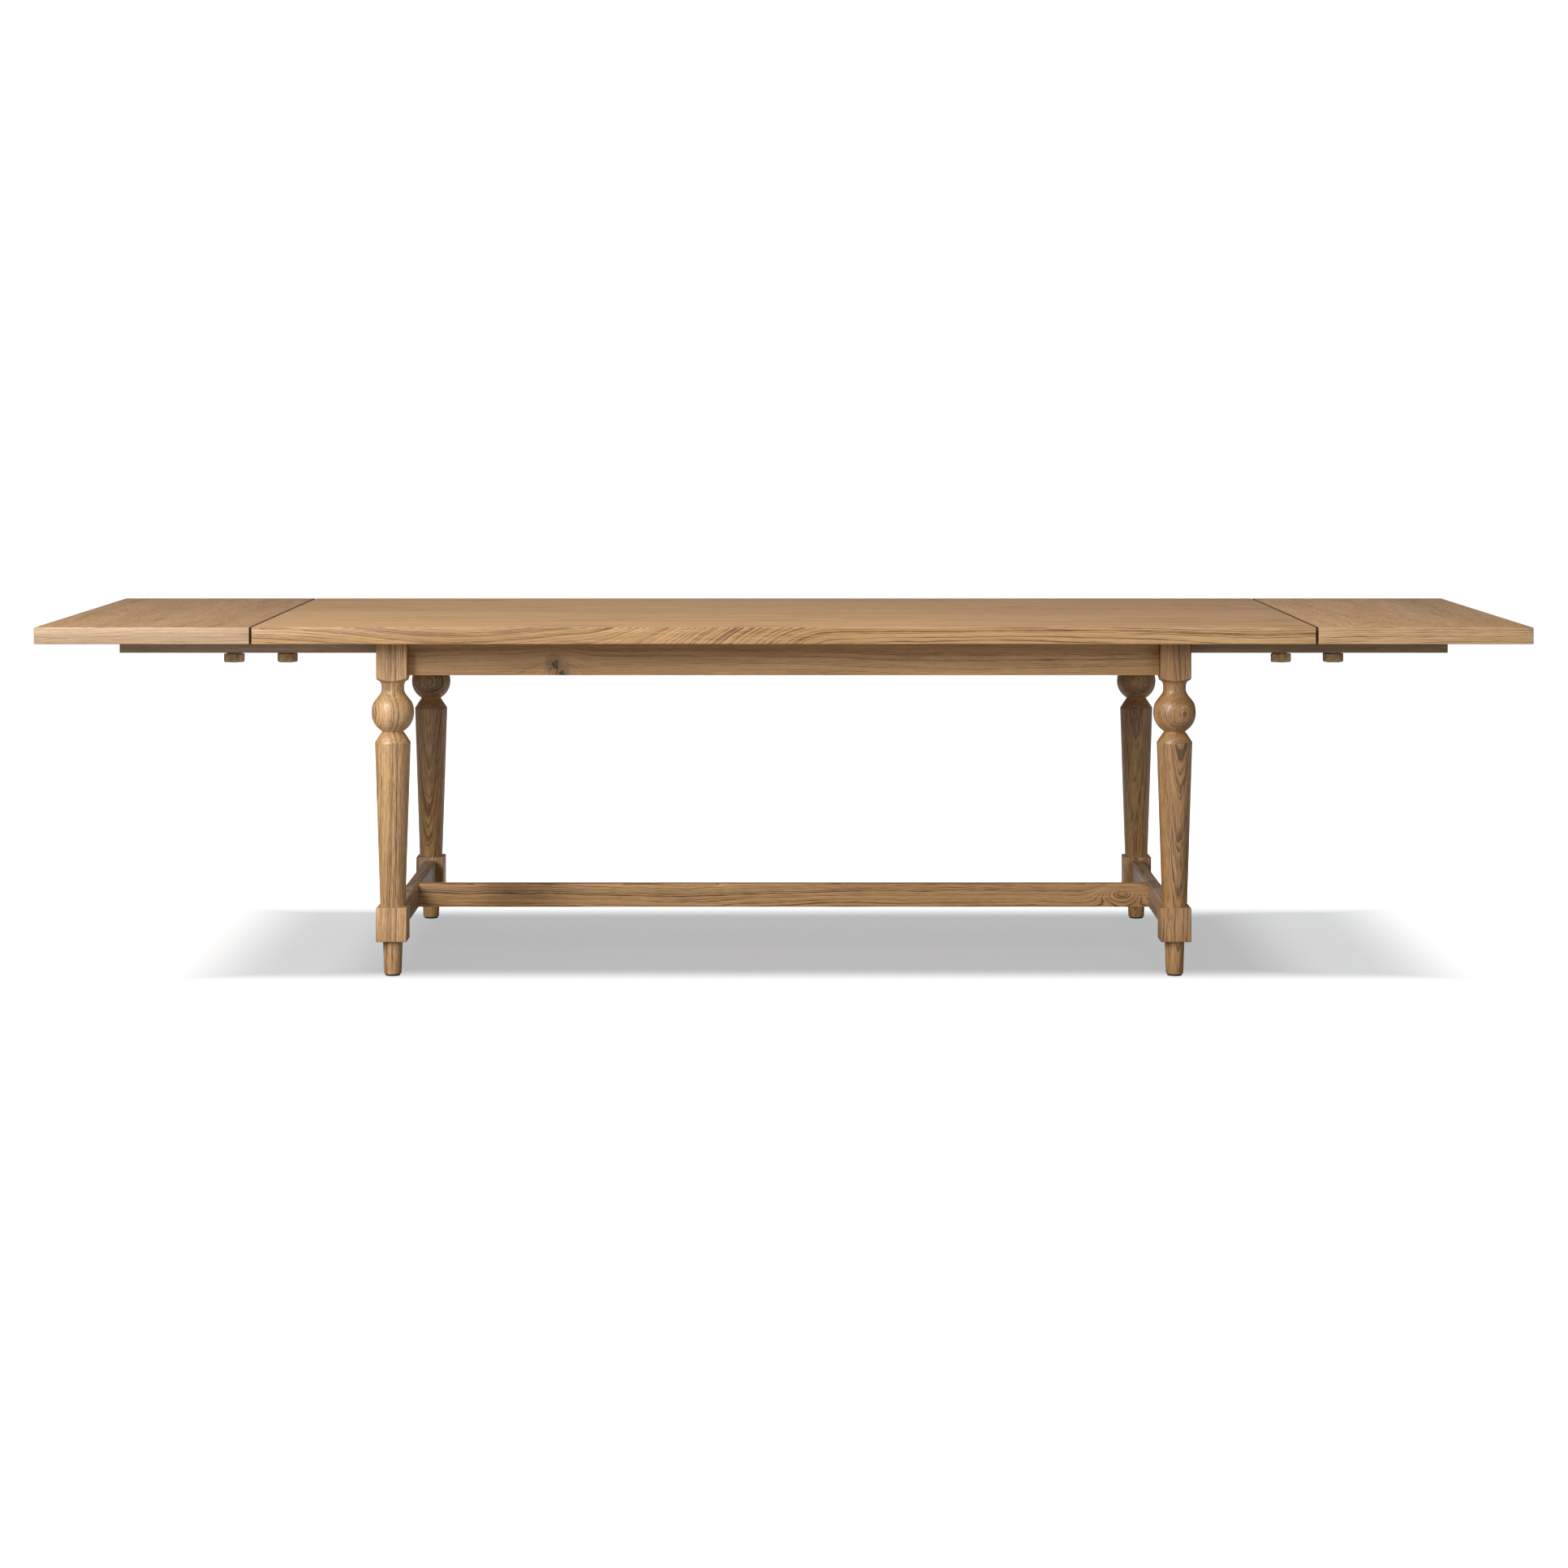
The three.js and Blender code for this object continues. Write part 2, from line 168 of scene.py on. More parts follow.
# ---- Oak ------------------------------------------------------------------------------------------------
# The figure is solid: growth rings round a wandering pith that runs along the grain, as in a real board.
# The uneven features have a length along the grain and a width across it.
SLOW_WAVES = (0.75, 0.22)
SMALL_WAVES = (0.09, 0.018)
PATCHES = (0.25, 0.03)
DASHES = (0.05, 0.0018)
PORES = (0.02, 0.0011)
FIBRES = (0.16, 0.0045)
TONES = (0.55, 0.07)
SEED_STEP = (3.7, 5.1, 1.3)
NOISE_MIDDLE = (0.5, 0.5, 0.5)
ACROSS_GRAIN = (0, 1, 1)
YEAR_PACE = 0.21  # how quickly the years turn from wide to narrow
YEAR_SPREAD = 2.2  # and by how many rings
YEAR_SHADE = [(0, 1), (0.12, 0.95), (0.26, 0.5), (0.46, 0.2), (0.8, 0.0), (1, 1)]
FAINTEST_YEAR = 0.45
FAINTEST_PATCH = 0.5
FIBRE_SHADE = ((0.86, 1.1), (0.82, 1.1), (0.74, 1.1))  # darkest and palest, for red, green and blue
WOOD_ROUGHNESS = 0.38
LINE_ROUGHNESS = 0.52
PORE_ROUGHNESS = 0.1
FIBRE_HEIGHT = 0.15
PORE_DEPTH = 0.6
LINE_DEPTH = 0.25
KNOT_COLOUR = (0.07, 0.037, 0.02, 1)


def make_oak_group():
    tree, given, result = new_group(
        "oak",
        {
            "Vector": ("Vector", None),  # from the pith, the grain along X
            "Seed": ("Float", 0.0),
            "Ring Width": ("Float", 0.0045),
            "Wander": ("Float", 0.03),
            "Curl": ("Float", 0.07),  # small waves, as a share of the wander
            "Lift": ("Float", 0.0),  # how far knots push the rings aside
            "Knot": ("Float", 0.0),
            "Tone": ("Float", 0.0),
            "Figure": ("Float", 1.0),  # strength of the ring lines
            "Flecks": ("Float", 0.15),  # strength of the loose pores between the rows
            "Polish": ("Float", 0.0),
            "Light": ("Color", (1, 1, 1, 1)),
            "Deep": ("Color", (1, 1, 1, 1)),
            "Line": ("Color", (1, 1, 1, 1)),
        },
        {"Color": ("Color", None), "Roughness": ("Float", None), "Height": ("Float", None)},
    )
    place = tree.vector("ADD", given["Vector"], tree.vector("MULTIPLY", given["Seed"], SEED_STEP))

    def along_grain(size, detail=2.0):
        length, width = size
        return tree.noise(tree.vector("MULTIPLY", place, (1 / length, 1 / width, 1 / width)), detail)

    slow = tree.vector("SUBTRACT", along_grain(SLOW_WAVES).outputs["Color"], NOISE_MIDDLE)
    small = tree.vector("SUBTRACT", along_grain(SMALL_WAVES).outputs["Color"], NOISE_MIDDLE)
    drift = tree.vector("ADD", slow, tree.vector("MULTIPLY", small, given["Curl"]))
    drift = tree.vector("MULTIPLY", drift, given["Wander"])
    moved = tree.vector("MULTIPLY", tree.vector("ADD", given["Vector"], drift), ACROSS_GRAIN)
    radius = tree.math("ADD", tree.vector("LENGTH", moved), given["Lift"])

    # Rings: wide and narrow years, a dark porous line at the start of each, fading into pale late wood.
    phase = tree.math("DIVIDE", radius, given["Ring Width"])
    uneven = tree.add("ShaderNodeTexNoise", {"W": tree.math("MULTIPLY", phase, YEAR_PACE), "Detail": 1.0},
                      noise_dimensions="1D")
    phase = tree.math("ADD", phase, tree.math("MULTIPLY", uneven.outputs[0], YEAR_SPREAD))
    year = tree.math("FLOOR", phase)
    line = tree.ramp(tree.math("FRACT", phase), YEAR_SHADE)
    bold = tree.range(tree.chance(year)["Value"], 0, 1, FAINTEST_YEAR, 1.0)
    patchy = tree.range(along_grain(PATCHES).outputs[0], 0.35, 0.65, FAINTEST_PATCH, 1.0)
    line = tree.math("MULTIPLY", line, tree.math("MULTIPLY", bold, patchy))

    # The lines are rows of pores, drawn as long dark dashes. Fewer and finer ones lie between them.
    dashes = tree.range(along_grain(DASHES).outputs[0], 0.44, 0.64)
    pores = tree.range(along_grain(PORES, 1.0).outputs[0], 0.52, 0.64)
    fibre = tree.range(along_grain(FIBRES, 3.0).outputs[0], 0.3, 0.7)
    tone = tree.math("ADD", along_grain(TONES).outputs[0], given["Tone"])
    rows = tree.math("MULTIPLY", line, given["Figure"])
    rows = tree.math("MULTIPLY", rows, tree.mix_float(dashes, 0.9, 1.35))
    loose = tree.math("MULTIPLY", tree.math("ADD", dashes, pores), given["Flecks"])
    marks = tree.range(tree.math("ADD", rows, loose), 0, 1)

    colour = tree.mix(tree.range(tone, 0.3, 0.75), given["Light"], given["Deep"])
    shade = tree.join(*[tree.range(fibre, 0, 1, dark, pale) for dark, pale in FIBRE_SHADE])
    colour = tree.mix(1.0, colour, shade, "MULTIPLY")
    colour = tree.mix(marks, colour, given["Line"])
    colour = tree.mix(given["Knot"], colour, KNOT_COLOUR)
    roughness = tree.range(line, 0, 1, WOOD_ROUGHNESS, LINE_ROUGHNESS)
    roughness = tree.math("ADD", roughness, tree.math("MULTIPLY", pores, PORE_ROUGHNESS))
    roughness = tree.math("SUBTRACT", roughness, given["Polish"])
    height = tree.math("MULTIPLY", fibre, FIBRE_HEIGHT)
    height = tree.math("SUBTRACT", height, tree.math("MULTIPLY", pores, PORE_DEPTH))
    height = tree.math("SUBTRACT", height, tree.math("MULTIPLY", line, LINE_DEPTH))
    tree.fill(result, {"Color": colour, "Roughness": roughness, "Height": height})
    return tree.tree


RAGGED_PER_METRE = (190, 190, 110)
RAGGED_REACH = 0.75  # how far the core's edge strays, as a share of the core
HEART = (1.0, 0.5)  # where the dark heart starts and is full, in cores from the middle
HALO = (2.4, 0.9)
HALO_STRENGTH = 0.45


def make_knot_group():
    """Pushes the rings aside round a point, and darkens a ragged core there. One knot's Lift and Dark
    feed the next."""
    tree, given, result = new_group(
        "knot",
        {
            "Vector": ("Vector", None),
            "Centre": ("Vector", None),
            "Stretch": ("Vector", (1, 1, 1)),  # one over the reach along each axis
            "Push": ("Float", 0.01),
            "Core": ("Vector", (1, 1, 1)),  # one over the core's half-size along each axis
            "Lift": ("Float", 0.0),
            "Dark": ("Float", 0.0),
        },
        {"Lift": ("Float", None), "Dark": ("Float", None)},
    )
    offset = tree.vector("SUBTRACT", given["Vector"], given["Centre"])
    distance = tree.vector("LENGTH", tree.vector("MULTIPLY", offset, given["Stretch"]))
    bell = tree.math("EXPONENT", tree.math("MULTIPLY", tree.math("MULTIPLY", distance, distance), -1.0))
    lift = tree.math("ADD", given["Lift"], tree.math("MULTIPLY", bell, given["Push"]))
    ragged = tree.noise(tree.vector("MULTIPLY", given["Vector"], RAGGED_PER_METRE), 3.0).outputs[0]
    ragged = tree.range(ragged, 0.25, 0.75, -RAGGED_REACH, RAGGED_REACH)
    core = tree.math("ADD", tree.vector("LENGTH", tree.vector("MULTIPLY", offset, given["Core"])), ragged)
    heart = tree.smooth(core, *HEART)
    halo = tree.math("MULTIPLY", tree.smooth(core, *HALO), HALO_STRENGTH)
    dark = tree.math("MAXIMUM", given["Dark"], tree.math("MAXIMUM", heart, halo))
    tree.fill(result, {"Lift": lift, "Dark": dark})
    return tree.tree


def palette(light, deep, line):
    """An oak's colours: its pale wood, its deeper wood and its ring lines."""
    return {"Light": (*light, 1), "Deep": (*deep, 1), "Line": (*line, 1)}


OAK = make_oak_group()
KNOT = make_knot_group()
HONEY = palette((0.70, 0.43, 0.205), (0.53, 0.305, 0.13), (0.17, 0.08, 0.03))
# Paler oak for the front left leg: partly its own tone, partly painted light from the key on the left.
PALE_WITH_PAINTED_LIGHT = palette((0.80, 0.505, 0.25), (0.62, 0.365, 0.16), (0.19, 0.09, 0.035))
# Browner oak for the front right leg: partly its own tone, partly painted shade away from the key.
BROWN_WITH_PAINTED_SHADE = palette((0.65, 0.37, 0.153), (0.46, 0.243, 0.09), (0.12, 0.058, 0.024))
TAN = palette((0.64, 0.39, 0.185), (0.47, 0.27, 0.115), (0.14, 0.066, 0.027))
BOLD = palette((0.70, 0.42, 0.20), (0.54, 0.305, 0.13), (0.08, 0.036, 0.014))
TOP_OAK = palette((0.75, 0.465, 0.245), (0.64, 0.385, 0.19), (0.28, 0.145, 0.06))
LEAF_OAK = palette((0.66, 0.405, 0.215), (0.56, 0.335, 0.165), (0.24, 0.125, 0.052))
WARM_EDGE = palette((0.77, 0.515, 0.28), (0.64, 0.41, 0.205), (0.16, 0.085, 0.038))
# Paler and greyer than the warm edge: a painted sheen from the key light on the left.
EDGE_OAK_PAINTED_SHEEN = palette((0.70, 0.50, 0.33), (0.58, 0.40, 0.25), (0.25, 0.145, 0.075))
# The left rails' oak is paler and greyer: painted light and a painted reflection of the bright floor.
RAIL_OAK_PAINTED_LIGHT = palette((0.62, 0.46, 0.31), (0.48, 0.35, 0.225), (0.17, 0.11, 0.07))
# Near black: painted shade on the arrises where two boards meet in a groove.
GROOVE_PAINTED_SHADE = palette((0.07, 0.04, 0.022), (0.045, 0.026, 0.014), (0.02, 0.011, 0.006))
# The right rails' darker oak is painted shade, away from the key light on the left.
RAIL_OAK_PAINTED_SHADE = palette((0.40, 0.26, 0.15), (0.30, 0.195, 0.105), (0.10, 0.06, 0.03))
# Greyed oak: the grey is a painted reflection of the white surroundings, seen at a grazing angle.
GREY_OAK_PAINTED_REFLECTION = palette((0.50, 0.345, 0.22), (0.37, 0.25, 0.16), (0.14, 0.08, 0.05))
KNOB_OAK = palette((0.80, 0.53, 0.29), (0.50, 0.31, 0.15), (0.10, 0.055, 0.025))
NO_CORE = (0.0001, 0.0001, 0.0001)  # so small that no core shows
GRAIN_ORDER = {"X": (0, 1, 2), "Y": (1, 0, 2), "Z": (2, 0, 1)}  # the axes along, across and up
STAVE_STRAY = 0.6  # how far a stave's pith is from its middle, in staves
STAVE_TONE = 0.16
STAVE_SHIFT = 7.0
GRAIN_BUMP = {"Strength": 0.4, "Distance": 0.0006}


def oak(name, grain, pith, colours=HONEY, seed=0.0, ring_width=0.0045, knots=(), stave=0.0,
        run_out=None, gloss=0.6, **settings):
    """An oak finish. grain is the axis it runs along, and pith a point on the pith line.
    knots are (centre, reach along X, Y and Z, push, core half-size). stave is the width of glued
    strips, or 0. run_out is (start, end, rise) along the grain, where the rings cross the face at a
    slant. settings are more inputs of the oak group."""
    material, tree = new_material(name)
    place = tree.place()
    parts = tree.split(tree.vector("SUBTRACT", place, pith))
    along, across, up = [parts[axis] for axis in GRAIN_ORDER[grain]]
    lift, dark, tone = 0.0, 0.0, 0.0
    if run_out:
        start, end, rise = run_out
        lift = tree.math("MULTIPLY", tree.smooth(along, start, end), rise)
    for centre, reach, push, core in knots:
        knot = tree.add("ShaderNodeGroup", {
            "Vector": place, "Centre": centre, "Stretch": [1 / r for r in reach], "Push": push,
            "Core": [1 / c for c in core], "Lift": lift, "Dark": dark}, node_tree=KNOT)
        lift, dark = knot.outputs["Lift"], knot.outputs["Dark"]
    if stave:
        # Each strip comes from another board, so it has a pith and a tone of its own.
        strip = tree.math("FLOOR", tree.math("DIVIDE", across, stave))
        random = tree.add("ShaderNodeSeparateColor", {0: tree.chance(strip)["Color"]}).outputs
        stave_middle = tree.math("MULTIPLY", tree.math("ADD", strip, 0.5), stave)
        stray = tree.range(random[0], 0, 1, -stave * STAVE_STRAY, stave * STAVE_STRAY)
        across = tree.math("ADD", tree.math("SUBTRACT", across, stave_middle), stray)
        tone = tree.range(random[1], 0, 1, -STAVE_TONE, STAVE_TONE)
        along = tree.math("ADD", along, tree.math("MULTIPLY", random[2], STAVE_SHIFT))
    wood = tree.add("ShaderNodeGroup", {
        "Vector": tree.join(along, across, up), "Seed": seed, "Ring Width": ring_width, "Lift": lift,
        "Knot": dark, "Tone": tone, **colours, **settings}, node_tree=OAK).outputs
    normal = tree.add("ShaderNodeBump", {"Height": wood["Height"], **GRAIN_BUMP})
    shader = tree.add("ShaderNodeBsdfPrincipled", {
        "Base Color": wood["Color"], "Roughness": wood["Roughness"], "Normal": normal.outputs[0],
        "Specular IOR Level": gloss})
    tree.add("ShaderNodeOutputMaterial", {"Surface": shader.outputs[0]})
    return material


STAINS_PER_METRE = 90
ROUGHNESS_SPREAD = 0.2


def speckled(name, colour, dark, metallic, roughness, grain_size):
    """A manufactured finish, such as zinc plating or moulded plastic, with a fine uneven surface."""
    material, tree = new_material(name)
    place = tree.place()
    fine, stain = [tree.noise(tree.vector("MULTIPLY", place, (size, size, size)), detail).outputs[0]
                   for size, detail in ((1 / grain_size, 3.0), (STAINS_PER_METRE, 2.0))]
    shade = tree.math("ADD", tree.math("MULTIPLY", fine, 0.5), tree.math("MULTIPLY", stain, 0.5))
    normal = tree.add("ShaderNodeBump", {"Height": fine, "Strength": 0.15, "Distance": 0.0002})
    smoothest, roughest = roughness * (1 - ROUGHNESS_SPREAD), roughness * (1 + ROUGHNESS_SPREAD)
    shader = tree.add("ShaderNodeBsdfPrincipled", {
        "Base Color": tree.mix(tree.range(shade, 0.35, 0.65), dark, colour), "Metallic": metallic,
        "Roughness": tree.range(fine, 0.3, 0.7, smoothest, roughest), "Normal": normal.outputs[0]})
    tree.add("ShaderNodeOutputMaterial", {"Surface": shader.outputs[0]})
    return material


# ---- Mesh pieces ----------------------------------------------------------------------------------------
SHARP_ANGLE = math.radians(32)


def finish_piece(mesh_builder, name, node, materials, body):
    """Turns a bmesh into a piece that replaces its CAD node and rides on its body."""
    mesh = bpy.data.meshes.new(name)
    bmesh.ops.recalc_face_normals(mesh_builder, faces=mesh_builder.faces)
    for face in mesh_builder.faces:
        face.smooth = True
    mesh_builder.to_mesh(mesh)
    mesh_builder.free()
    mesh.set_sharp_from_angle(angle=SHARP_ANGLE)
    piece = bpy.data.objects.new(name, mesh)
    bpy.context.scene.collection.objects.link(piece)
    for material in materials:
        mesh.materials.append(material)
    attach(piece, body)
    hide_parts(node)
    return piece


def rounded_box(low, high, radius):
    box = bmesh.new()
    bmesh.ops.create_cube(box, size=1.0)
    size = high - low
    bmesh.ops.scale(box, vec=size, verts=box.verts)
    bmesh.ops.translate(box, vec=(low + high) / 2, verts=box.verts)
    bmesh.ops.bevel(box, geom=box.edges[:], offset=radius, segments=3, profile=0.5, affect="EDGES")
    return box


def prism(outline, low, high, place):
    """A closed solid from an outline of (x, y) points between two heights. place moves each point."""
    solid = bmesh.new()
    rings = [[solid.verts.new(place(Vector((x, y, z)))) for x, y in outline] for z in (low, high)]
    join_rings(solid, rings)
    return solid


def bridge(solid, lower, upper):
    """Faces between two rings."""
    for i in range(len(lower)):
        j = (i + 1) % len(lower)
        solid.faces.new((lower[i], lower[j], upper[j], upper[i]))


def join_rings(solid, rings):
    """Faces between neighbouring rings, and a cap on each end."""
    for lower, upper in zip(rings, rings[1:]):
        bridge(solid, lower, upper)
    solid.faces.new(rings[0][::-1])
    solid.faces.new(rings[-1])


def full_turn(steps):
    return [2 * math.pi * i / steps for i in range(steps)]


def quarter_turn(steps):
    return [math.pi / 2 * i / steps for i in range(steps + 1)]


def level_ring(solid, centre, height, points):
    """A ring of vertices about the vertical through centre, from (angle, reach) pairs."""
    x, y = centre[0], centre[1]
    return [solid.verts.new((x + reach * math.cos(angle), y + reach * math.sin(angle), height))
            for angle, reach in points]


def turned(profile, centre, steps=48, closed=False):
    """A body of revolution about the vertical through centre, from (radius, height) pairs.
    A closed one joins its last ring to its first, which leaves a hole in the middle."""
    solid = bmesh.new()
    rings = [level_ring(solid, centre, height, [(angle, radius) for angle in full_turn(steps)])
             for radius, height in profile]
    if closed:
        for lower, upper in zip(rings, rings[1:] + rings[:1]):
            bridge(solid, lower, upper)
    else:
        join_rings(solid, rings)
    return solid


def between(start, end, share):
    return start + (end - start) * share


def arc(centre, radius, start, end, steps):
    """Points of a circle's arc, angles in degrees."""
    angles = [math.radians(start + (end - start) * i / steps) for i in range(steps + 1)]
    return [(centre[0] + radius * math.cos(a), centre[1] + radius * math.sin(a)) for a in angles]


# ---- Main top and leaves --------------------------------------------------------------------------------
ARRIS = 2 * MM
HOLE_STEPS = 32
PIN_HOLE = 5.3 * MM
PIN_HOLE_GAP = 0.3 * MM  # past each end of the pin
STUD_HOLE = 4.3 * MM
STUD_HOLE_GAP = 3 * MM  # past the stud's top
DRILL_START = 0.01  # below the underside
FACE, SIDE, END, JOINT, GROOVE = range(5)  # the finishes of a board
TURNED_OUT = 0.1  # the X of an arris's normal at the board's ends is more than this
FACING_OUT = 0.99  # and that of the end itself more than this
# The left leaf's edge oak carries a painted sheen from the key light; the right one is warm oak.
LEAF_FINISHES = {"left": (LEAF_OAK, EDGE_OAK_PAINTED_SHEEN, 0.9), "right": (TOP_OAK, WARM_EDGE, 1.25)}
LEAF_KNOTS = ((-0.08, -0.36), (0.13, -0.12), (-0.14, 0.2))  # outwards from the leaf's middle, and along Y
LEAF_KNOT = ((0.035, 0.07, 0.03), 0.012, (0.004, 0.007, 0.006))  # reach, push and core half-size


def drill(piece, holes):
    """Cuts round holes. holes are (start, end, radius)."""
    for start, end, radius in holes:
        start, end = Vector(start), Vector(end)
        tool = bmesh.new()
        turn = (end - start).to_track_quat("Z", "Y").to_matrix().to_4x4()
        placement = Matrix.Translation((start + end) / 2) @ turn
        bmesh.ops.create_cone(tool, cap_ends=True, segments=HOLE_STEPS, radius1=radius, radius2=radius,
                              depth=(end - start).length, matrix=placement)
        mesh = bpy.data.meshes.new("drill")
        tool.to_mesh(mesh)
        tool.free()
        bit = bpy.data.objects.new("drill", mesh)
        bpy.context.scene.collection.objects.link(bit)
        cut = piece.modifiers.new("drill", "BOOLEAN")
        cut.operation = "DIFFERENCE"
        cut.solver = "EXACT"
        cut.object = bit
        bpy.context.view_layer.update()
        result = piece.evaluated_get(bpy.context.evaluated_depsgraph_get())
        drilled = bpy.data.meshes.new_from_object(result)
        piece.modifiers.clear()
        old = piece.data
        piece.data = drilled
        drilled.name = old.name
        bpy.data.meshes.remove(old)
        bpy.data.objects.remove(bit)
        bpy.data.meshes.remove(mesh)
    for polygon in piece.data.polygons:
        polygon.use_smooth = True
    piece.data.set_sharp_from_angle(angle=SHARP_ANGLE)


def board(node, body, finishes, holes):
    """A table board. Its faces, long sides, outer ends, ends at a joint and arrises there have their own
    finish: the arrises at a joint, where two meet in a groove, are painted near black as painted shade."""
    solid = rounded_box(*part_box(node), ARRIS)
    solid.normal_update()
    outer_end = cad_box[1][0] - ARRIS
    for face in solid.faces:
        normal = [abs(n) for n in face.normal]
        face.material_index = (END, SIDE, FACE)[normal.index(max(normal))]
        if normal[0] > TURNED_OUT and abs(face.calc_center_median().x) < outer_end:
            face.material_index = JOINT if normal[0] > FACING_OUT else GROOVE
    drill(finish_piece(solid, node + "_board", node, finishes, body), holes)


def top_holes(underside):
    """The holes for pins and studs, as {board: [(start, end, radius)]}."""
    holes = {"main_top": [], "leaf_left": [], "leaf_right": []}
    for depth, side in CORNERS:
        low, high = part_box(f"leaf_pin_{depth}_{side}")
        pin = (low + high) / 2
        start = (low.x - PIN_HOLE_GAP, pin.y, pin.z)
        end = (high.x + PIN_HOLE_GAP, pin.y, pin.z)
        for kind, node in (("top", "main_top"), ("leaf", f"leaf_{side}")):
            holes[node].append((start, end, PIN_HOLE))
            stud = f"{kind}_stud_{depth}_{side}"
            x, y = middle(stud).xy
            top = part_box(stud)[1].z + STUD_HOLE_GAP
            holes[node].append(((x, y, underside - DRILL_START), (x, y, top), STUD_HOLE))
    return holes


def make_tops():
    low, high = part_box("main_top")
    holes = top_holes(low.z)
    left_sweep = ((-0.72, low.y, high.z), (0.2, 0.2, 0.06), 0.016, NO_CORE)
    face = oak("oak_main_top", "X", (0, low.y, low.z - 0.055), TOP_OAK, seed=2.0, stave=0.133,
               gloss=0.35, Wander=0.05, Figure=0.8)
    edge = oak("oak_main_side", "X", (0, low.y + 0.06, low.z - 0.015), HONEY, seed=5.3, ring_width=0.0037,
               knots=[left_sweep], run_out=(-0.44, 0.12, -0.11), Wander=0.026, Figure=1.45)
    joint = oak("oak_joint_face", "Y", (0, 0, low.z - 0.03), TAN, seed=6.1)
    # The joint's arrises get painted shade, near black, to darken the groove.
    groove = oak("oak_joint_groove_painted_shade", "Y", (0, 0, low.z - 0.03), GROOVE_PAINTED_SHADE, seed=6.1, gloss=0.2)
    board("main_top", "base", [face, edge, joint, joint, groove], holes["main_top"])
    for side, sign in SIDES.items():
        node = f"leaf_{side}"
        centre_x = middle(node).x
        knots = [((centre_x + sign * dx, y, high.z), *LEAF_KNOT) for dx, y in LEAF_KNOTS]
        top_colours, edge_colours, edge_figure = LEAF_FINISHES[side]
        face = oak(f"oak_leaf_{side}", "Y", (centre_x, 0, low.z - 0.06), top_colours, seed=9.0 + sign,
                   ring_width=0.002, stave=0.115, knots=knots, gloss=0.35, Wander=0.05, Figure=0.8,
                   Curl=0.9, Flecks=0.22)
        edge_pith = (0, low.y + 0.13, low.z - 0.06 - 0.02 * sign)
        edge = oak(f"oak_leaf_side_{side}", "X", edge_pith, edge_colours, seed=12.0 + sign,
                   ring_width=0.003, Wander=0.025, Figure=edge_figure)
        end_pith = (centre_x + sign * 0.1, 0, low.z - 0.06)
        end = oak(f"oak_leaf_end_{side}", "Y", end_pith, edge_colours, seed=15.0 + sign)
        board(node, node, [face, edge, end, joint, groove], holes[node])


# ---- Legs -----------------------------------------------------------------------------------------------
HALF_LEG = 33 * MM
CORNER_ROUNDING = 1.5 * MM
FACE_STEPS = 10
CORNER_STEPS = 3
FOOT_RADIUS = 18.8 * MM
FOOT_ROUNDING = 2.5 * MM
ANKLE_RADIUS = 21.3 * MM  # of the foot, where it meets the block
BLOCK = (76 * MM, 149.5 * MM)  # the bottom and top of the square block that holds the stretcher
# The taper from the block up, and the step in to the groove under the ball: (radius, height) in mm.
TAPER = ((26.9, 149.5), (26.9, 150.3), (27.4, 151.5), (38.4, 502), (38.7, 503.4), (38.3, 504.8),
         (25.6, 524.5), (24.4, 525.4), (23.5, 526.4), (23.5, 528))
BALL_Z = 568 * MM
BALL_START = BALL_Z - 38.8 * MM
BALL_RADIUS = 46 * MM
BALL_UPPER_HEIGHT = 54 * MM  # the ball's upper half is a little drawn out, up into the neck
BALL_END = BALL_Z + 18 * MM
LOWER_STEPS = 20
UPPER_STEPS = 10
NECK_Z = BALL_Z + 50 * MM
NECK_RADIUS = 24.6 * MM
NECK_STEPS = 20
COVE = (625 * MM, 638 * MM)
COVE_RADIUS = 31.8 * MM
COVE_ANGLE = math.radians(80)
COVE_STEPS = 12
HEAD_Z = 646 * MM
CORNER_RADIUS = 48 * MM  # beyond the square head's corners
CHAMFER_STEPS = 24
HEAD_ROUNDING = 0.8 * MM
FAR = 1.0  # a radius or half-square that never limits the leg


def rounded_square(angle, half, rounding):
    """Distance from the middle to the side of a rounded square, at an angle."""
    angle = abs((angle + math.pi / 4) % (math.pi / 2) - math.pi / 4)
    x, y = math.cos(angle), math.sin(angle)
    inner = half - rounding
    if y / x * half <= inner:
        return half / x
    along = (x + y) * inner
    return along + math.sqrt(along**2 - 2 * inner**2 + rounding**2)


def leg_angles():
    """Angles round the leg, closer together at the square's corners."""
    edge = math.atan((HALF_LEG - CORNER_ROUNDING) / HALF_LEG)
    eighth = [edge * i / FACE_STEPS for i in range(FACE_STEPS)]
    eighth += [edge + (math.pi / 4 - edge) * i / CORNER_STEPS for i in range(CORNER_STEPS)]
    quarter = eighth + [math.pi / 2 - a for a in [math.pi / 4, *eighth[:0:-1]]]
    return [a + turn * math.pi / 2 for turn in range(4) for a in quarter]


def edge_round(size, height, rounding, up, steps=3):
    """(size, height) pairs of a rounded arris: up is 1 from a bottom face outwards, -1 to a top face."""
    turns = quarter_turn(steps)
    if up < 0:
        turns = turns[::-1]
    return [(size - rounding + rounding * math.sin(t), height + up * rounding * (1 - math.cos(t)))
            for t in turns]


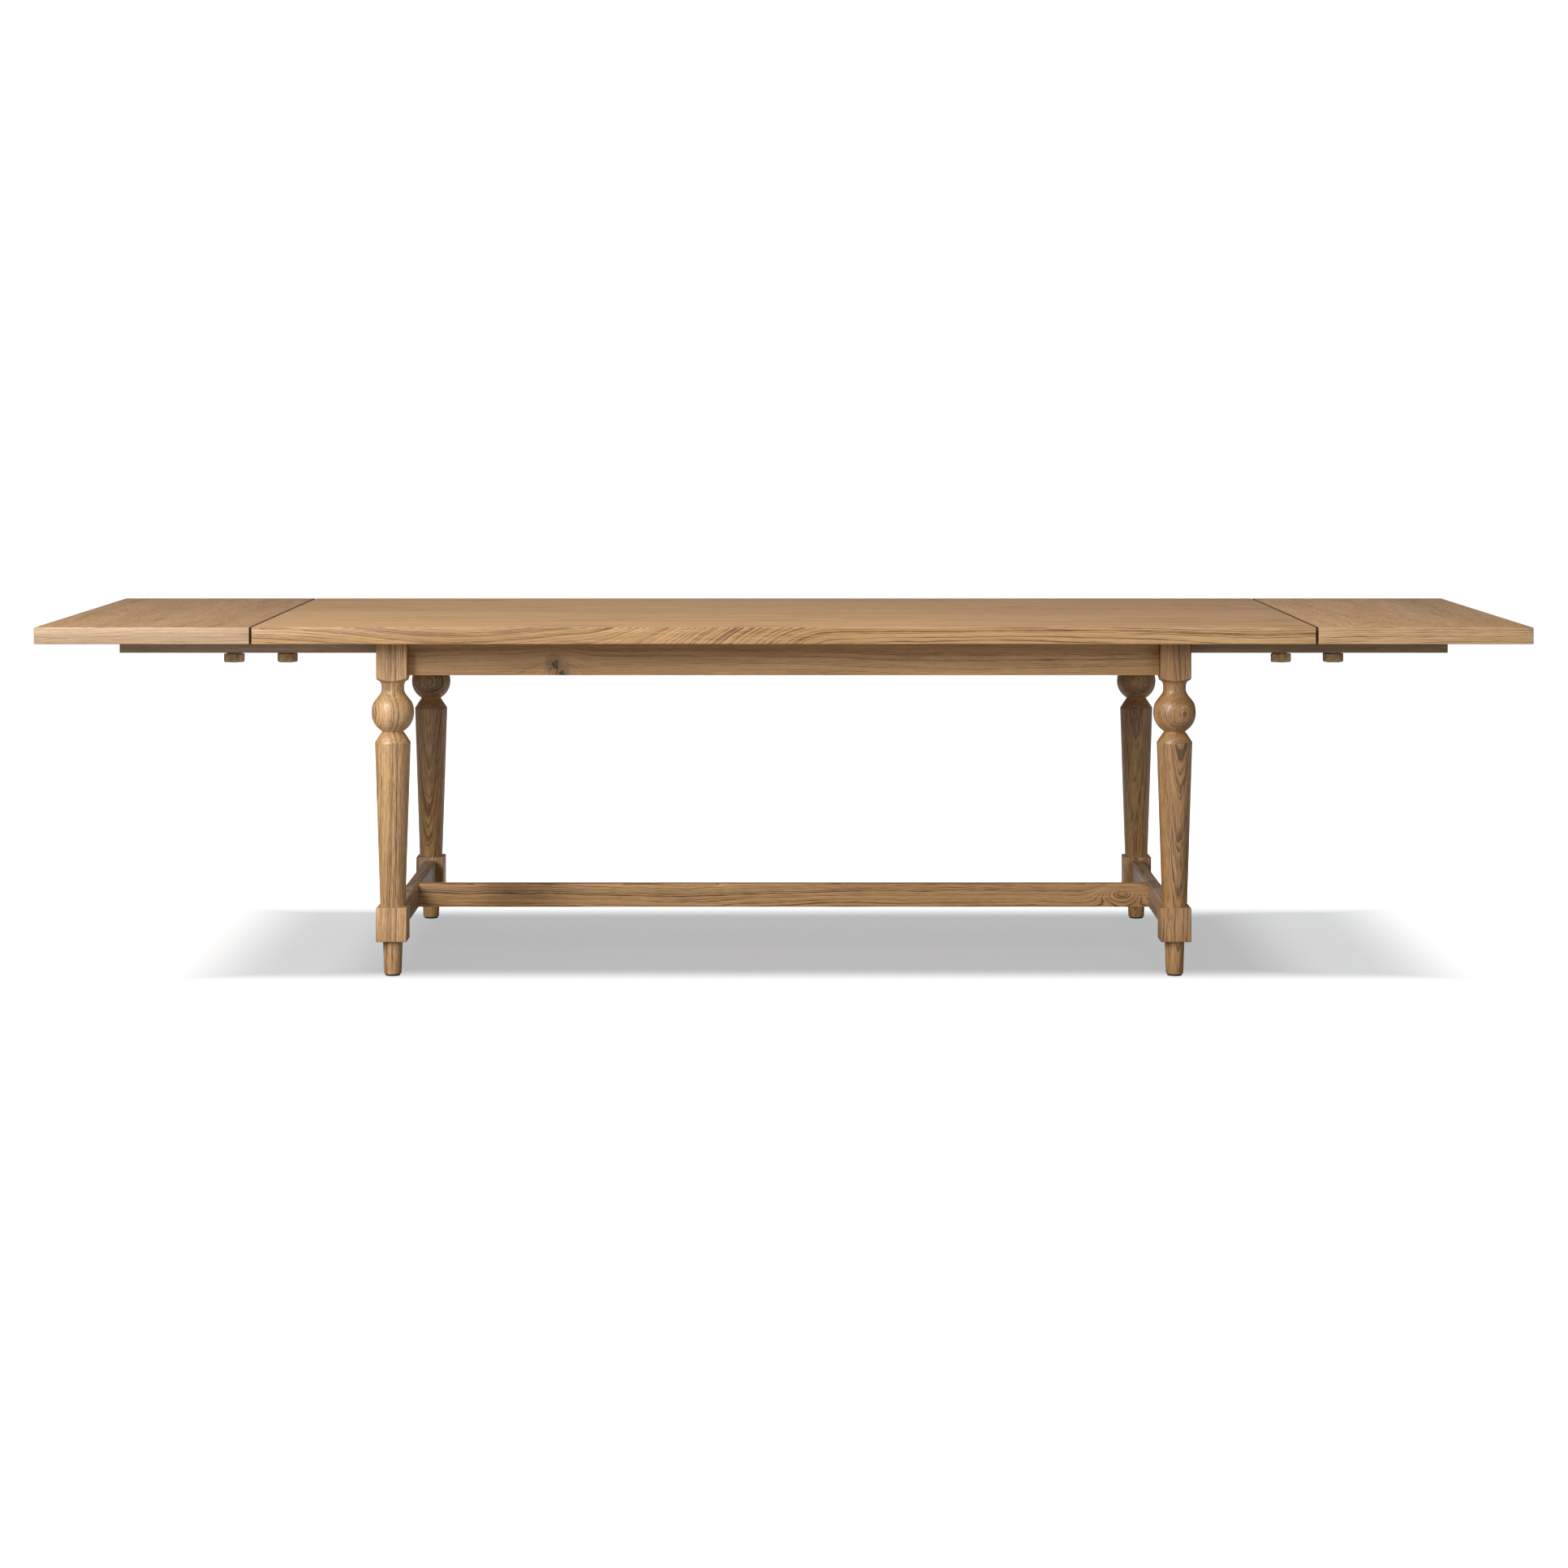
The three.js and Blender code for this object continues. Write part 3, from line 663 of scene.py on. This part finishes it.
def ball_rings():
    """(radius, height) pairs from the groove under the ball, over the ball, up to the neck."""
    pairs = []
    for i in range(LOWER_STEPS):
        z = between(BALL_START, BALL_Z, i / LOWER_STEPS)
        pairs.append((math.sqrt(BALL_RADIUS**2 - (z - BALL_Z) ** 2), z))
    for i in range(UPPER_STEPS):
        z = between(BALL_Z, BALL_END, i / UPPER_STEPS)
        pairs.append((BALL_RADIUS * math.sqrt(1 - ((z - BALL_Z) / BALL_UPPER_HEIGHT) ** 2), z))
    # A smooth curve leaves the ball at the ball's own slope, and is upright at the neck.
    share = (BALL_END - BALL_Z) / BALL_UPPER_HEIGHT
    radius = BALL_RADIUS * math.sqrt(1 - share**2)
    slope = -BALL_RADIUS * share / BALL_UPPER_HEIGHT / math.sqrt(1 - share**2) * (NECK_Z - BALL_END)
    for i in range(NECK_STEPS + 1):
        t = i / NECK_STEPS
        ball_weight = 2 * t**3 - 3 * t**2 + 1
        curve = radius * ball_weight + slope * (t**3 - 2 * t**2 + t) + NECK_RADIUS * (1 - ball_weight)
        pairs.append((curve, between(BALL_END, NECK_Z, t)))
    return pairs


def shoulder_rings():
    """(radius, height) pairs of a cove up from the neck, and of a chamfer that cuts the head's corners."""
    pairs = []
    for i in range(COVE_STEPS + 1):
        angle = i / COVE_STEPS * COVE_ANGLE
        out = (1 - math.cos(angle)) / (1 - math.cos(COVE_ANGLE))
        rise = math.sin(angle) / math.sin(COVE_ANGLE)
        pairs.append((between(NECK_RADIUS, COVE_RADIUS, out), between(*COVE, rise)))
    for i in range(1, CHAMFER_STEPS + 1):
        t = i / CHAMFER_STEPS
        pairs.append((between(COVE_RADIUS, CORNER_RADIUS, t), between(COVE[1], HEAD_Z, t)))
    return pairs


def leg_rings(bottom, top):
    """(round radius, half square, height) of each ring, upwards. The leg is the smaller of the two."""
    foot = [(r, FAR, z) for r, z in edge_round(FOOT_RADIUS, bottom, FOOT_ROUNDING, 1, 4)]
    foot += [(ANKLE_RADIUS, FAR, BLOCK[0])]
    block = [(FAR, s, z) for s, z in edge_round(HALF_LEG, BLOCK[0], CORNER_ROUNDING, 1)]
    block += [(FAR, s, z) for s, z in edge_round(HALF_LEG, BLOCK[1], CORNER_ROUNDING, -1)]
    taper = [(r * MM, FAR, z * MM) for r, z in TAPER]
    ball = [(r, FAR, z) for r, z in ball_rings()]
    shoulder = [(r, HALF_LEG, z) for r, z in shoulder_rings()]
    head = [(FAR, s, z) for s, z in edge_round(HALF_LEG, top, HEAD_ROUNDING, -1)]
    return foot + block + taper + ball + shoulder + head


def make_leg(depth, side, material):
    node = f"leg_{depth}_{side}"
    low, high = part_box(node)
    angles = leg_angles()
    solid = bmesh.new()
    rings = []
    for radius, square, height in leg_rings(low.z, high.z):
        points = [(angle, min(radius, rounded_square(angle, square, CORNER_ROUNDING))) for angle in angles]
        rings.append(level_ring(solid, middle(node), height, points))
    join_rings(solid, rings)
    finish_piece(solid, node + "_turned", node, [material], "base")


# The oak of each leg: where its pith runs from the leg's axis, its colours, ring width and seed. A pith
# behind the axis shows cathedrals and bull's eyes to the front, and one beside it straight grain.
# The front legs' paler and browner oaks are partly their own tone and partly painted light and shade.
LEG_OAK = {
    ("front", "left"): ((0.085, 0.02), PALE_WITH_PAINTED_LIGHT, 0.0044, 3.1),
    ("front", "right"): ((-0.018, 0.042), BROWN_WITH_PAINTED_SHADE, 0.0023, 14.4),
    ("back", "left"): ((0.004, 0.042), HONEY, 0.002, 16.1),
    ("back", "right"): ((0.01, 0.045), HONEY, 0.002, 8.2),
}


def make_legs():
    for (depth, side), ((dx, dy), colours, ring_width, seed) in LEG_OAK.items():
        centre = middle(f"leg_{depth}_{side}")
        pith = (centre.x + dx, centre.y + dy, 0)
        material = oak(f"oak_leg_{depth}_{side}", "Z", pith, colours, seed=seed, ring_width=ring_width,
                       gloss=0.9, Wander=0.028, Figure=1.2, Flecks=0.3, Polish=0.03)
        make_leg(depth, side, material)


# ---- Aprons and braces ----------------------------------------------------------------------------------
FRAME_ARRIS = 1.0 * MM
# The long apron's knot and the smaller one below it: X, height over the lower edge, reach, push and core.
APRON_KNOTS = (
    (-0.496, 0.021, (0.055, 0.05, 0.032), -0.019, (0.0105, 0.03, 0.015)),
    (-0.480, 0.004, (0.04, 0.05, 0.02), -0.004, (0.0135, 0.03, 0.012)),
)


def make_aprons():
    for depth, sign in DEPTHS.items():
        node = f"apron_{depth}"
        low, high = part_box(node)
        face_y = low.y if sign < 0 else high.y
        knots = [((x, face_y, low.z + rise), *knot) for x, rise, *knot in APRON_KNOTS]
        material = oak(f"oak_apron_{depth}", "X", (0, face_y - sign * 0.05, low.z - 0.03), TAN,
                       seed=30.0 + sign, ring_width=0.004, knots=knots, Wander=0.04, Figure=0.85)
        solid = rounded_box(low, high, FRAME_ARRIS)
        finish_piece(solid, node + "_board", node, [material], "base")
    for number, side in enumerate(SIDES):
        for kind in ("apron", "brace"):
            node = f"{kind}_{side}"
            pith = (middle(node).x, 0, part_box(node)[0].z - 0.06)
            dress(node, oak(f"oak_{node}", "Y", pith, seed=33.0 + number * 2.3))
    for depth, side in CORNERS:
        node = f"corner_block_{depth}_{side}"
        centre = middle(node)
        seed = 40 + centre.x + 3 * centre.y
        dress(node, oak(f"oak_{node}", "X", (0, centre.y, centre.z - 0.05), seed=seed))


def dress(node, material):
    """Keeps a CAD node whose shape is right, with its arrises eased and its own finish."""
    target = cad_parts[node]
    target.material_slots[0].link = "OBJECT"
    target.material_slots[0].material = material
    ease = target.modifiers.new("ease", "BEVEL")
    ease.width = FRAME_ARRIS
    ease.segments = 2
    ease.limit_method = "ANGLE"
    ease.angle_limit = math.radians(40)


# ---- Stretchers -----------------------------------------------------------------------------------------
STRETCHER_WIDTH = 30 * MM
TOUCH = 0.3 * MM  # how far a stretcher's end stops short of the wood that it meets
UPPER_ROUND = {"end": 6 * MM, "centre": 3 * MM}


def stretcher_outline(low, high, rounding):
    """Cross-section, across and up, with rounded upper arrises and eased lower ones."""
    half = STRETCHER_WIDTH / 2
    ease = FRAME_ARRIS
    points = arc((half - ease, low + ease), ease, -90, 0, 2)
    points += arc((half - rounding, high - rounding), rounding, 0, 90, 6)
    points += arc((rounding - half, high - rounding), rounding, 90, 180, 6)
    points += arc((ease - half, low + ease), ease, 180, 270, 2)
    return points


def make_stretchers():
    reach = -(middle("leg_front_left").y + HALF_LEG) - TOUCH
    for number, side in enumerate(SIDES):
        node = f"stretcher_{side}"
        low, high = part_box(node)
        x = middle(node).x
        outline = stretcher_outline(low.z, high.z, UPPER_ROUND["end"])
        solid = prism(outline, -reach, reach, lambda p: (x + p.x, p.z, p.y))
        # The end stretchers' greyer oak is a painted reflection on their tops.
        material = oak(f"oak_{node}", "Y", (x, 0, low.z - 0.05), GREY_OAK_PAINTED_REFLECTION, seed=50.0 + number * 1.9,
                       gloss=0.8, Wander=0.04)
        finish_piece(solid, node + "_rail", node, [material], "base")
    node = "stretcher_centre"
    low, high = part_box(node)
    end = middle("stretcher_right").x - STRETCHER_WIDTH / 2 - TOUCH
    outline = stretcher_outline(low.z, high.z, UPPER_ROUND["centre"])
    solid = prism(outline, -end, end, lambda p: (p.z, p.x, p.y))
    eye = ((0.772, -STRETCHER_WIDTH / 2, high.z - 0.018), (0.05, 0.1, 0.024), -0.05, NO_CORE)
    material = oak("oak_stretcher_centre", "X", (0, 0.03, low.z - 0.03), BOLD, seed=57.0,
                   ring_width=0.0058, knots=[eye], Wander=0.05, Curl=0.12, Figure=1.5)
    finish_piece(solid, node + "_rail", node, [material], "base")


# ---- Slide rails ----------------------------------------------------------------------------------------
HALF_SLOT = 4.75 * MM
SLOT_STEPS = 16
RAIL_EASE = 1.5 * MM
EASE_STEPS = 3
RIM_EASE = 0.8 * MM


def rail_outline(inner, outer, half, slot_end):
    """A rail from above, along and across, with its slot open at the outer end."""
    ease = RAIL_EASE
    outline = arc((inner + ease, ease - half), ease, 180, 270, EASE_STEPS)
    outline += arc((outer - ease, ease - half), ease, 270, 360, EASE_STEPS)
    outline += arc((outer - ease, -HALF_SLOT - ease), ease, 0, 90, EASE_STEPS)
    outline += arc((slot_end, 0), HALF_SLOT, 270, 90, SLOT_STEPS)
    outline += arc((outer - ease, HALF_SLOT + ease), ease, 270, 360, EASE_STEPS)
    outline += arc((outer - ease, half - ease), ease, 0, 90, EASE_STEPS)
    outline += arc((inner + ease, half - ease), ease, 90, 180, EASE_STEPS)
    return outline


def make_rails():
    for number, (depth, side) in enumerate(CORNERS):
        node = f"slide_rail_{depth}_{side}"
        low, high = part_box(node)
        sign = SIDES[side]
        y = middle(node).y
        inner, outer = sorted((abs(low.x), abs(high.x)))
        slot_end = abs(middle(f"top_stud_{depth}_{side}").x) - 1 * MM
        outline = rail_outline(inner, outer, (high.y - low.y) / 2, slot_end)
        solid = prism(outline, low.z, high.z, lambda p: (sign * p.x, y + p.y, p.z))
        rim = [e for e in solid.edges if any(len(f.verts) > 4 for f in e.link_faces)]
        bmesh.ops.bevel(solid, geom=rim, offset=RIM_EASE, segments=2, profile=0.5, affect="EDGES")
        # Lit and shaded copies of one oak: the left rails are painted paler, the right ones painted
        # darker.
        colours = RAIL_OAK_PAINTED_LIGHT if side == "left" else RAIL_OAK_PAINTED_SHADE
        material = oak(f"oak_{node}", "X", (0, y + 0.04, low.z - 0.03), colours,
                       seed=60.0 + number * 1.3, Figure=0.6)
        finish_piece(solid, node + "_bar", node, [material], node)


# ---- Knobs, studs, washers, bolts, pins and glides ------------------------------------------------------
KNOB_LOBES = 5
KNOB_RADIUS = 20 * MM
KNOB_LOBE_DEPTH = 3.2 * MM
KNOB_EDGE = 3.2 * MM
KNOB_UPPER_EDGE = 1.2 * MM
KNOB_DISH = (6 * MM, 5 * MM, 0.5 * MM)  # insets of the dish's floor and rim, and its depth
KNOB_STEPS = 100
KNOB_TURNED = {"top": 14, "leaf": -9}  # degrees that the lobes are turned
STUD_RADIUS = 4 * MM
THREAD_PITCH = 1.25 * MM
THREAD_DEPTH = 0.6 * MM
THREAD_STEPS = 20
WASHER_HOLE = 4.4 * MM
WASHER_EASE = 0.3 * MM
BOLT_RADIUS = 6.5 * MM  # of the head, to its corners
BOLT_HEAD = 5.5 * MM
BOLT_FLANGE = 0.6 * MM
# A pin's end: how far it is inset, at each distance from the tip.
PIN_RADIUS = 5 * MM
PIN_TIP = ((1.6 * MM, 0), (0.9 * MM, 0.4 * MM), (0, 2.5 * MM))


def knob_ring(solid, centre, inset, height, turn):
    depth = KNOB_LOBE_DEPTH - 0.25 * inset
    points = [(angle + turn, KNOB_RADIUS - inset + depth * math.cos(KNOB_LOBES * angle))
              for angle in full_turn(KNOB_STEPS)]
    return level_ring(solid, centre, height, points)


def make_knob(kind, depth, side, material):
    node = f"{kind}_knob_{depth}_{side}"
    low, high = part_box(node)
    centre = middle(f"{kind}_stud_{depth}_{side}")
    turn = math.radians(KNOB_TURNED[kind] * SIDES[side] * DEPTHS[depth])
    floor_inset, rim_inset, dish_depth = KNOB_DISH
    levels = [(floor_inset, low.z + dish_depth), (rim_inset, low.z)]
    levels += [(KNOB_EDGE - KNOB_EDGE * math.sin(t), low.z + KNOB_EDGE * (1 - math.cos(t)))
               for t in quarter_turn(6)]
    shoulder = high.z - KNOB_UPPER_EDGE
    levels += [(KNOB_UPPER_EDGE - KNOB_UPPER_EDGE * math.cos(t), shoulder + KNOB_UPPER_EDGE * math.sin(t))
               for t in quarter_turn(3)]
    solid = bmesh.new()
    join_rings(solid, [knob_ring(solid, centre, inset, height, turn) for inset, height in levels])
    finish_piece(solid, node + "_turned", node, [material], node)


def thread(centre, low, high, radius):
    """A rod with a real helical thread, standing upright."""
    solid = bmesh.new()
    count = round((high - low) / THREAD_PITCH * 4)
    rings = []
    for k in range(count + 1):
        z = low + (high - low) * k / count
        points = []
        for i in range(THREAD_STEPS):
            turn = i / THREAD_STEPS
            wave = abs(((z / THREAD_PITCH - turn) % 1.0) * 2 - 1)
            points.append((2 * math.pi * turn, radius - THREAD_DEPTH * wave))
        rings.append(level_ring(solid, centre, z, points))
    join_rings(solid, rings)
    return solid


def make_washer(node, centre, material):
    low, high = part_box(node)
    inner, outer, ease = WASHER_HOLE, (high.x - low.x) / 2, WASHER_EASE
    profile = [(inner + ease, low.z), (outer - ease, low.z), (outer, low.z + ease),
               (outer, high.z - ease), (outer - ease, high.z), (inner + ease, high.z),
               (inner, high.z - ease), (inner, low.z + ease)]
    solid = turned(profile, centre, 40, closed=True)
    finish_piece(solid, node + "_ring", node, [material], node)


def make_fixings():
    zinc = speckled("zinc_plate", (0.66, 0.66, 0.64, 1), (0.5, 0.5, 0.5, 1), 1.0, 0.34, 0.0012)
    plastic = speckled("glide_plastic", (0.05, 0.038, 0.03, 1), (0.03, 0.022, 0.018, 1), 0.0, 0.6, 0.0006)
    for kind in ("top", "leaf"):
        for number, (depth, side) in enumerate(CORNERS):
            stud, knob, washer = [f"{kind}_{part}_{depth}_{side}" for part in ("stud", "knob", "washer")]
            low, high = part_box(stud)
            centre = middle(stud)
            material = oak(f"oak_{knob}", "Y", (centre.x + 0.03, centre.y, centre.z - 0.06), KNOB_OAK,
                           seed=70.0 + number * 1.1 + len(kind), ring_width=0.003)
            make_knob(kind, depth, side, material)
            solid = thread(centre, low.z, high.z, STUD_RADIUS)
            finish_piece(solid, stud + "_thread", stud, [zinc], knob)
            make_washer(washer, centre, zinc)
    for depth, side in CORNERS:
        make_bolt(depth, side, zinc)
        make_pin(depth, side)
        make_glide(depth, side, plastic)


def make_bolt(depth, side, material):
    """A hexagon bolt through the corner block, lying on the corner's diagonal."""
    node = f"corner_bolt_{depth}_{side}"
    low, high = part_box(node)
    sx, sy = SIDES[side], DEPTHS[depth]
    inner = Vector((low.x if sx > 0 else high.x, low.y if sy > 0 else high.y, (low.z + high.z) / 2))
    direction = Vector((sx, sy, 0)).normalized()
    start = inner + direction * 0.5 * BOLT_RADIUS
    length = (high - low).xy.length - 0.4 * BOLT_RADIUS
    solid = thread((0, 0), BOLT_HEAD, length - BOLT_RADIUS, STUD_RADIUS)
    flange = BOLT_HEAD - BOLT_FLANGE
    rings = []
    for scale, height in ((0.8, 0.0), (0.93, 0.4 * MM), (1.0, 1.2 * MM), (1.0, flange), (1.3, flange),
                          (1.3, BOLT_HEAD)):
        rings.append(level_ring(solid, (0, 0), height, [(a, scale * BOLT_RADIUS) for a in full_turn(6)]))
    join_rings(solid, rings)
    turn = direction.to_track_quat("Z", "Y").to_matrix().to_4x4()
    bmesh.ops.transform(solid, matrix=Matrix.Translation(start) @ turn, verts=solid.verts)
    finish_piece(solid, node + "_hex", node, [material], "base")


def make_pin(depth, side):
    """A wooden alignment pin with tapered ends, lying along X."""
    node = f"leaf_pin_{depth}_{side}"
    low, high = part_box(node)
    centre = middle(node)
    profile = [(PIN_RADIUS - inset, low.x + run) for inset, run in PIN_TIP]
    profile += [(PIN_RADIUS - inset, high.x - run) for inset, run in reversed(PIN_TIP)]
    solid = turned(profile, (0, 0), 32)
    for vertex in solid.verts:
        vertex.co = (vertex.co.z, centre.y + vertex.co.x, centre.z + vertex.co.y)
    material = oak(f"oak_{node}", "X", (0, centre.y + 0.02, centre.z - 0.01),
                   seed=80 + centre.x + centre.y, ring_width=0.002)
    finish_piece(solid, node + "_dowel", node, [material], f"leaf_{side}")


def make_glide(depth, side, material):
    node = f"foot_glide_{depth}_{side}"
    low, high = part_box(node)
    outer = (high.x - low.x) / 2
    profile = [(outer - 1.2 * MM, low.z), (outer - 0.4 * MM, low.z + 0.3 * MM), (outer, low.z + 1.1 * MM),
               (outer, high.z)]
    finish_piece(turned(profile, middle(node)), node + "_pad", node, [material], "base")


# ---- Camera, light and floor ----------------------------------------------------------------------------
CAMERA_DISTANCE = 7.608  # from the table's front edge
CAMERA_HEIGHT = 1.2655
CAMERA_LENS = 81.9
CAMERA_SHIFT = (0.0002, -0.251)


def make_camera():
    camera = bpy.data.cameras.new("camera")
    camera.sensor_width = 36
    camera.lens = CAMERA_LENS
    camera.shift_x, camera.shift_y = CAMERA_SHIFT
    camera.clip_end = 200
    holder = bpy.data.objects.new("camera", camera)
    holder.location = (0, cad_box[0][1] - CAMERA_DISTANCE, CAMERA_HEIGHT)
    holder.rotation_euler = (math.pi / 2, 0, 0)
    bpy.context.scene.collection.objects.link(holder)
    bpy.context.scene.camera = holder


WARM_WHITE = (1.0, 0.985, 0.96)
PLAIN_WHITE = (1, 1, 1)
# Each light's place, aim, size, watts and colour. The overhead one lights the floor alone, and only draws
# the table's soft shadow there. The others light everything but the floor.
LIGHTS = {
    "key": ((-4.4, -6.2, 4.7), (-0.1, 0, 0.5), (2.2, 6.0), 760, WARM_WHITE, "EXCLUDE"),
    "fill": ((5.5, -6.5, 2.4), (0.1, 0, 0.5), (2.0, 3.6), 80, WARM_WHITE, "EXCLUDE"),
    "ceiling": ((0, 0, 3.4), (0, 0, 0), (5.0, 2.0), 30, PLAIN_WHITE, "EXCLUDE"),
    "overhead": ((0, 0, 3.6), (0, 0, 0), (0.8, 0.5), 150, PLAIN_WHITE, "INCLUDE"),
}


def area_light(name, place, aim, size, power, colour):
    light = bpy.data.lights.new(name, "AREA")
    light.shape = "RECTANGLE"
    light.size, light.size_y = size
    light.energy = power
    light.color = colour
    holder = bpy.data.objects.new(name, light)
    holder.location = place
    holder.rotation_euler = (Vector(aim) - Vector(place)).to_track_quat("-Z", "Y").to_euler()
    bpy.context.scene.collection.objects.link(holder)
    return holder


WORLD_FILL = 0.17
FLOOR_REACH = 60.0
FLOOR_BOUNCE = (0.6, 0.6, 0.6, 1)
FLOOR_SEEN = (0.9, 0.9, 0.9, 1)
FLOOR_PAINTED_LIGHT = (0.39, 0.95)  # painted light from the floor's glow: inside the table's painted soft shadow, and beyond it
SHADOW_TINT = (0.94, 1.0, 1.05, 1)  # a painted cool tint that evens out the warm light that the oak throws on the floor
WHITE = (1, 1, 1, 1)
# Where the painted shadow under the table sits, and how it fades out to white.
SHADOW_MIDDLE = (0.09, 0.045, 0)
SHADOW_FADE_X = ((0.9, 1.12, 0.3), (1.18, 1.48, 0.7))  # start, end and share of each fade, from the middle
SHADOW_FADE_Y = (0.375, 0.57)


def light_only(light, target, state):
    """Makes a light reach only the target, or with EXCLUDE everything but the target."""
    group = bpy.data.collections.new(light.name + "_reach")
    group.objects.link(target)
    group.collection_objects[0].light_linking.link_state = state
    light.light_linking.receiver_collection = group


def make_lights(floor):
    """The lights, and a world that is white to the camera and a soft fill to everything else."""
    for name, (*settings, state) in LIGHTS.items():
        light_only(area_light(name, *settings), floor, state)
    world = bpy.data.worlds.new("studio")
    bpy.context.scene.world = world
    world.use_nodes = True
    world.node_tree.nodes.clear()
    tree = Tree(world.node_tree)
    seen = tree.add("ShaderNodeLightPath").outputs["Is Camera Ray"]
    strength = tree.mix_float(seen, WORLD_FILL, 1.0)
    background = tree.add("ShaderNodeBackground", {"Color": WHITE, "Strength": strength})
    tree.add("ShaderNodeOutputWorld", {"Surface": background.outputs[0]})


def make_floor():
    """A plain pale studio floor with the table's soft shadow painted on it: its glow brightens evenly to
    white away from the table.
    """
    mesh = bpy.data.meshes.new("floor")
    corners = [(x * FLOOR_REACH, y * FLOOR_REACH, 0) for x, y in ((-1, -1), (1, -1), (1, 1), (-1, 1))]
    mesh.from_pydata(corners, [], [(0, 1, 2, 3)])
    floor = bpy.data.objects.new("floor", mesh)
    bpy.context.scene.collection.objects.link(floor)
    material, tree = new_material("floor")
    offset = tree.vector("ABSOLUTE", tree.vector("SUBTRACT", tree.place(), SHADOW_MIDDLE))
    reach = tree.split(offset)
    # Painted shadow: the floor's own glow is low under the table and rises to white beyond it.
    fades = [tree.math("MULTIPLY", tree.smooth(reach[0], start, end), share)
             for start, end, share in SHADOW_FADE_X]
    beyond = tree.math("MAXIMUM", tree.math("ADD", *fades), tree.smooth(reach[1], *SHADOW_FADE_Y))
    painted_light = tree.range(beyond, 0, 1, *FLOOR_PAINTED_LIGHT)
    tint = tree.mix(beyond, SHADOW_TINT, WHITE)
    seen = tree.add("ShaderNodeAddShader", {
        0: tree.add("ShaderNodeBsdfDiffuse", {"Color": FLOOR_SEEN}).outputs[0],
        1: tree.add("ShaderNodeEmission", {"Color": tint, "Strength": painted_light}).outputs[0]})
    bounce = tree.add("ShaderNodeBsdfDiffuse", {"Color": FLOOR_BOUNCE})
    camera_ray = tree.add("ShaderNodeLightPath").outputs["Is Camera Ray"]
    mix = tree.add("ShaderNodeMixShader", {0: camera_ray, 1: bounce.outputs[0], 2: seen.outputs[0]})
    tree.add("ShaderNodeOutputMaterial", {"Surface": mix.outputs[0]})
    mesh.materials.append(material)
    return floor


bpy.context.scene.view_settings.view_transform = "Standard"
make_camera()
make_lights(make_floor())
make_tops()
make_legs()
make_aprons()
make_stretchers()
make_rails()
make_fixings()
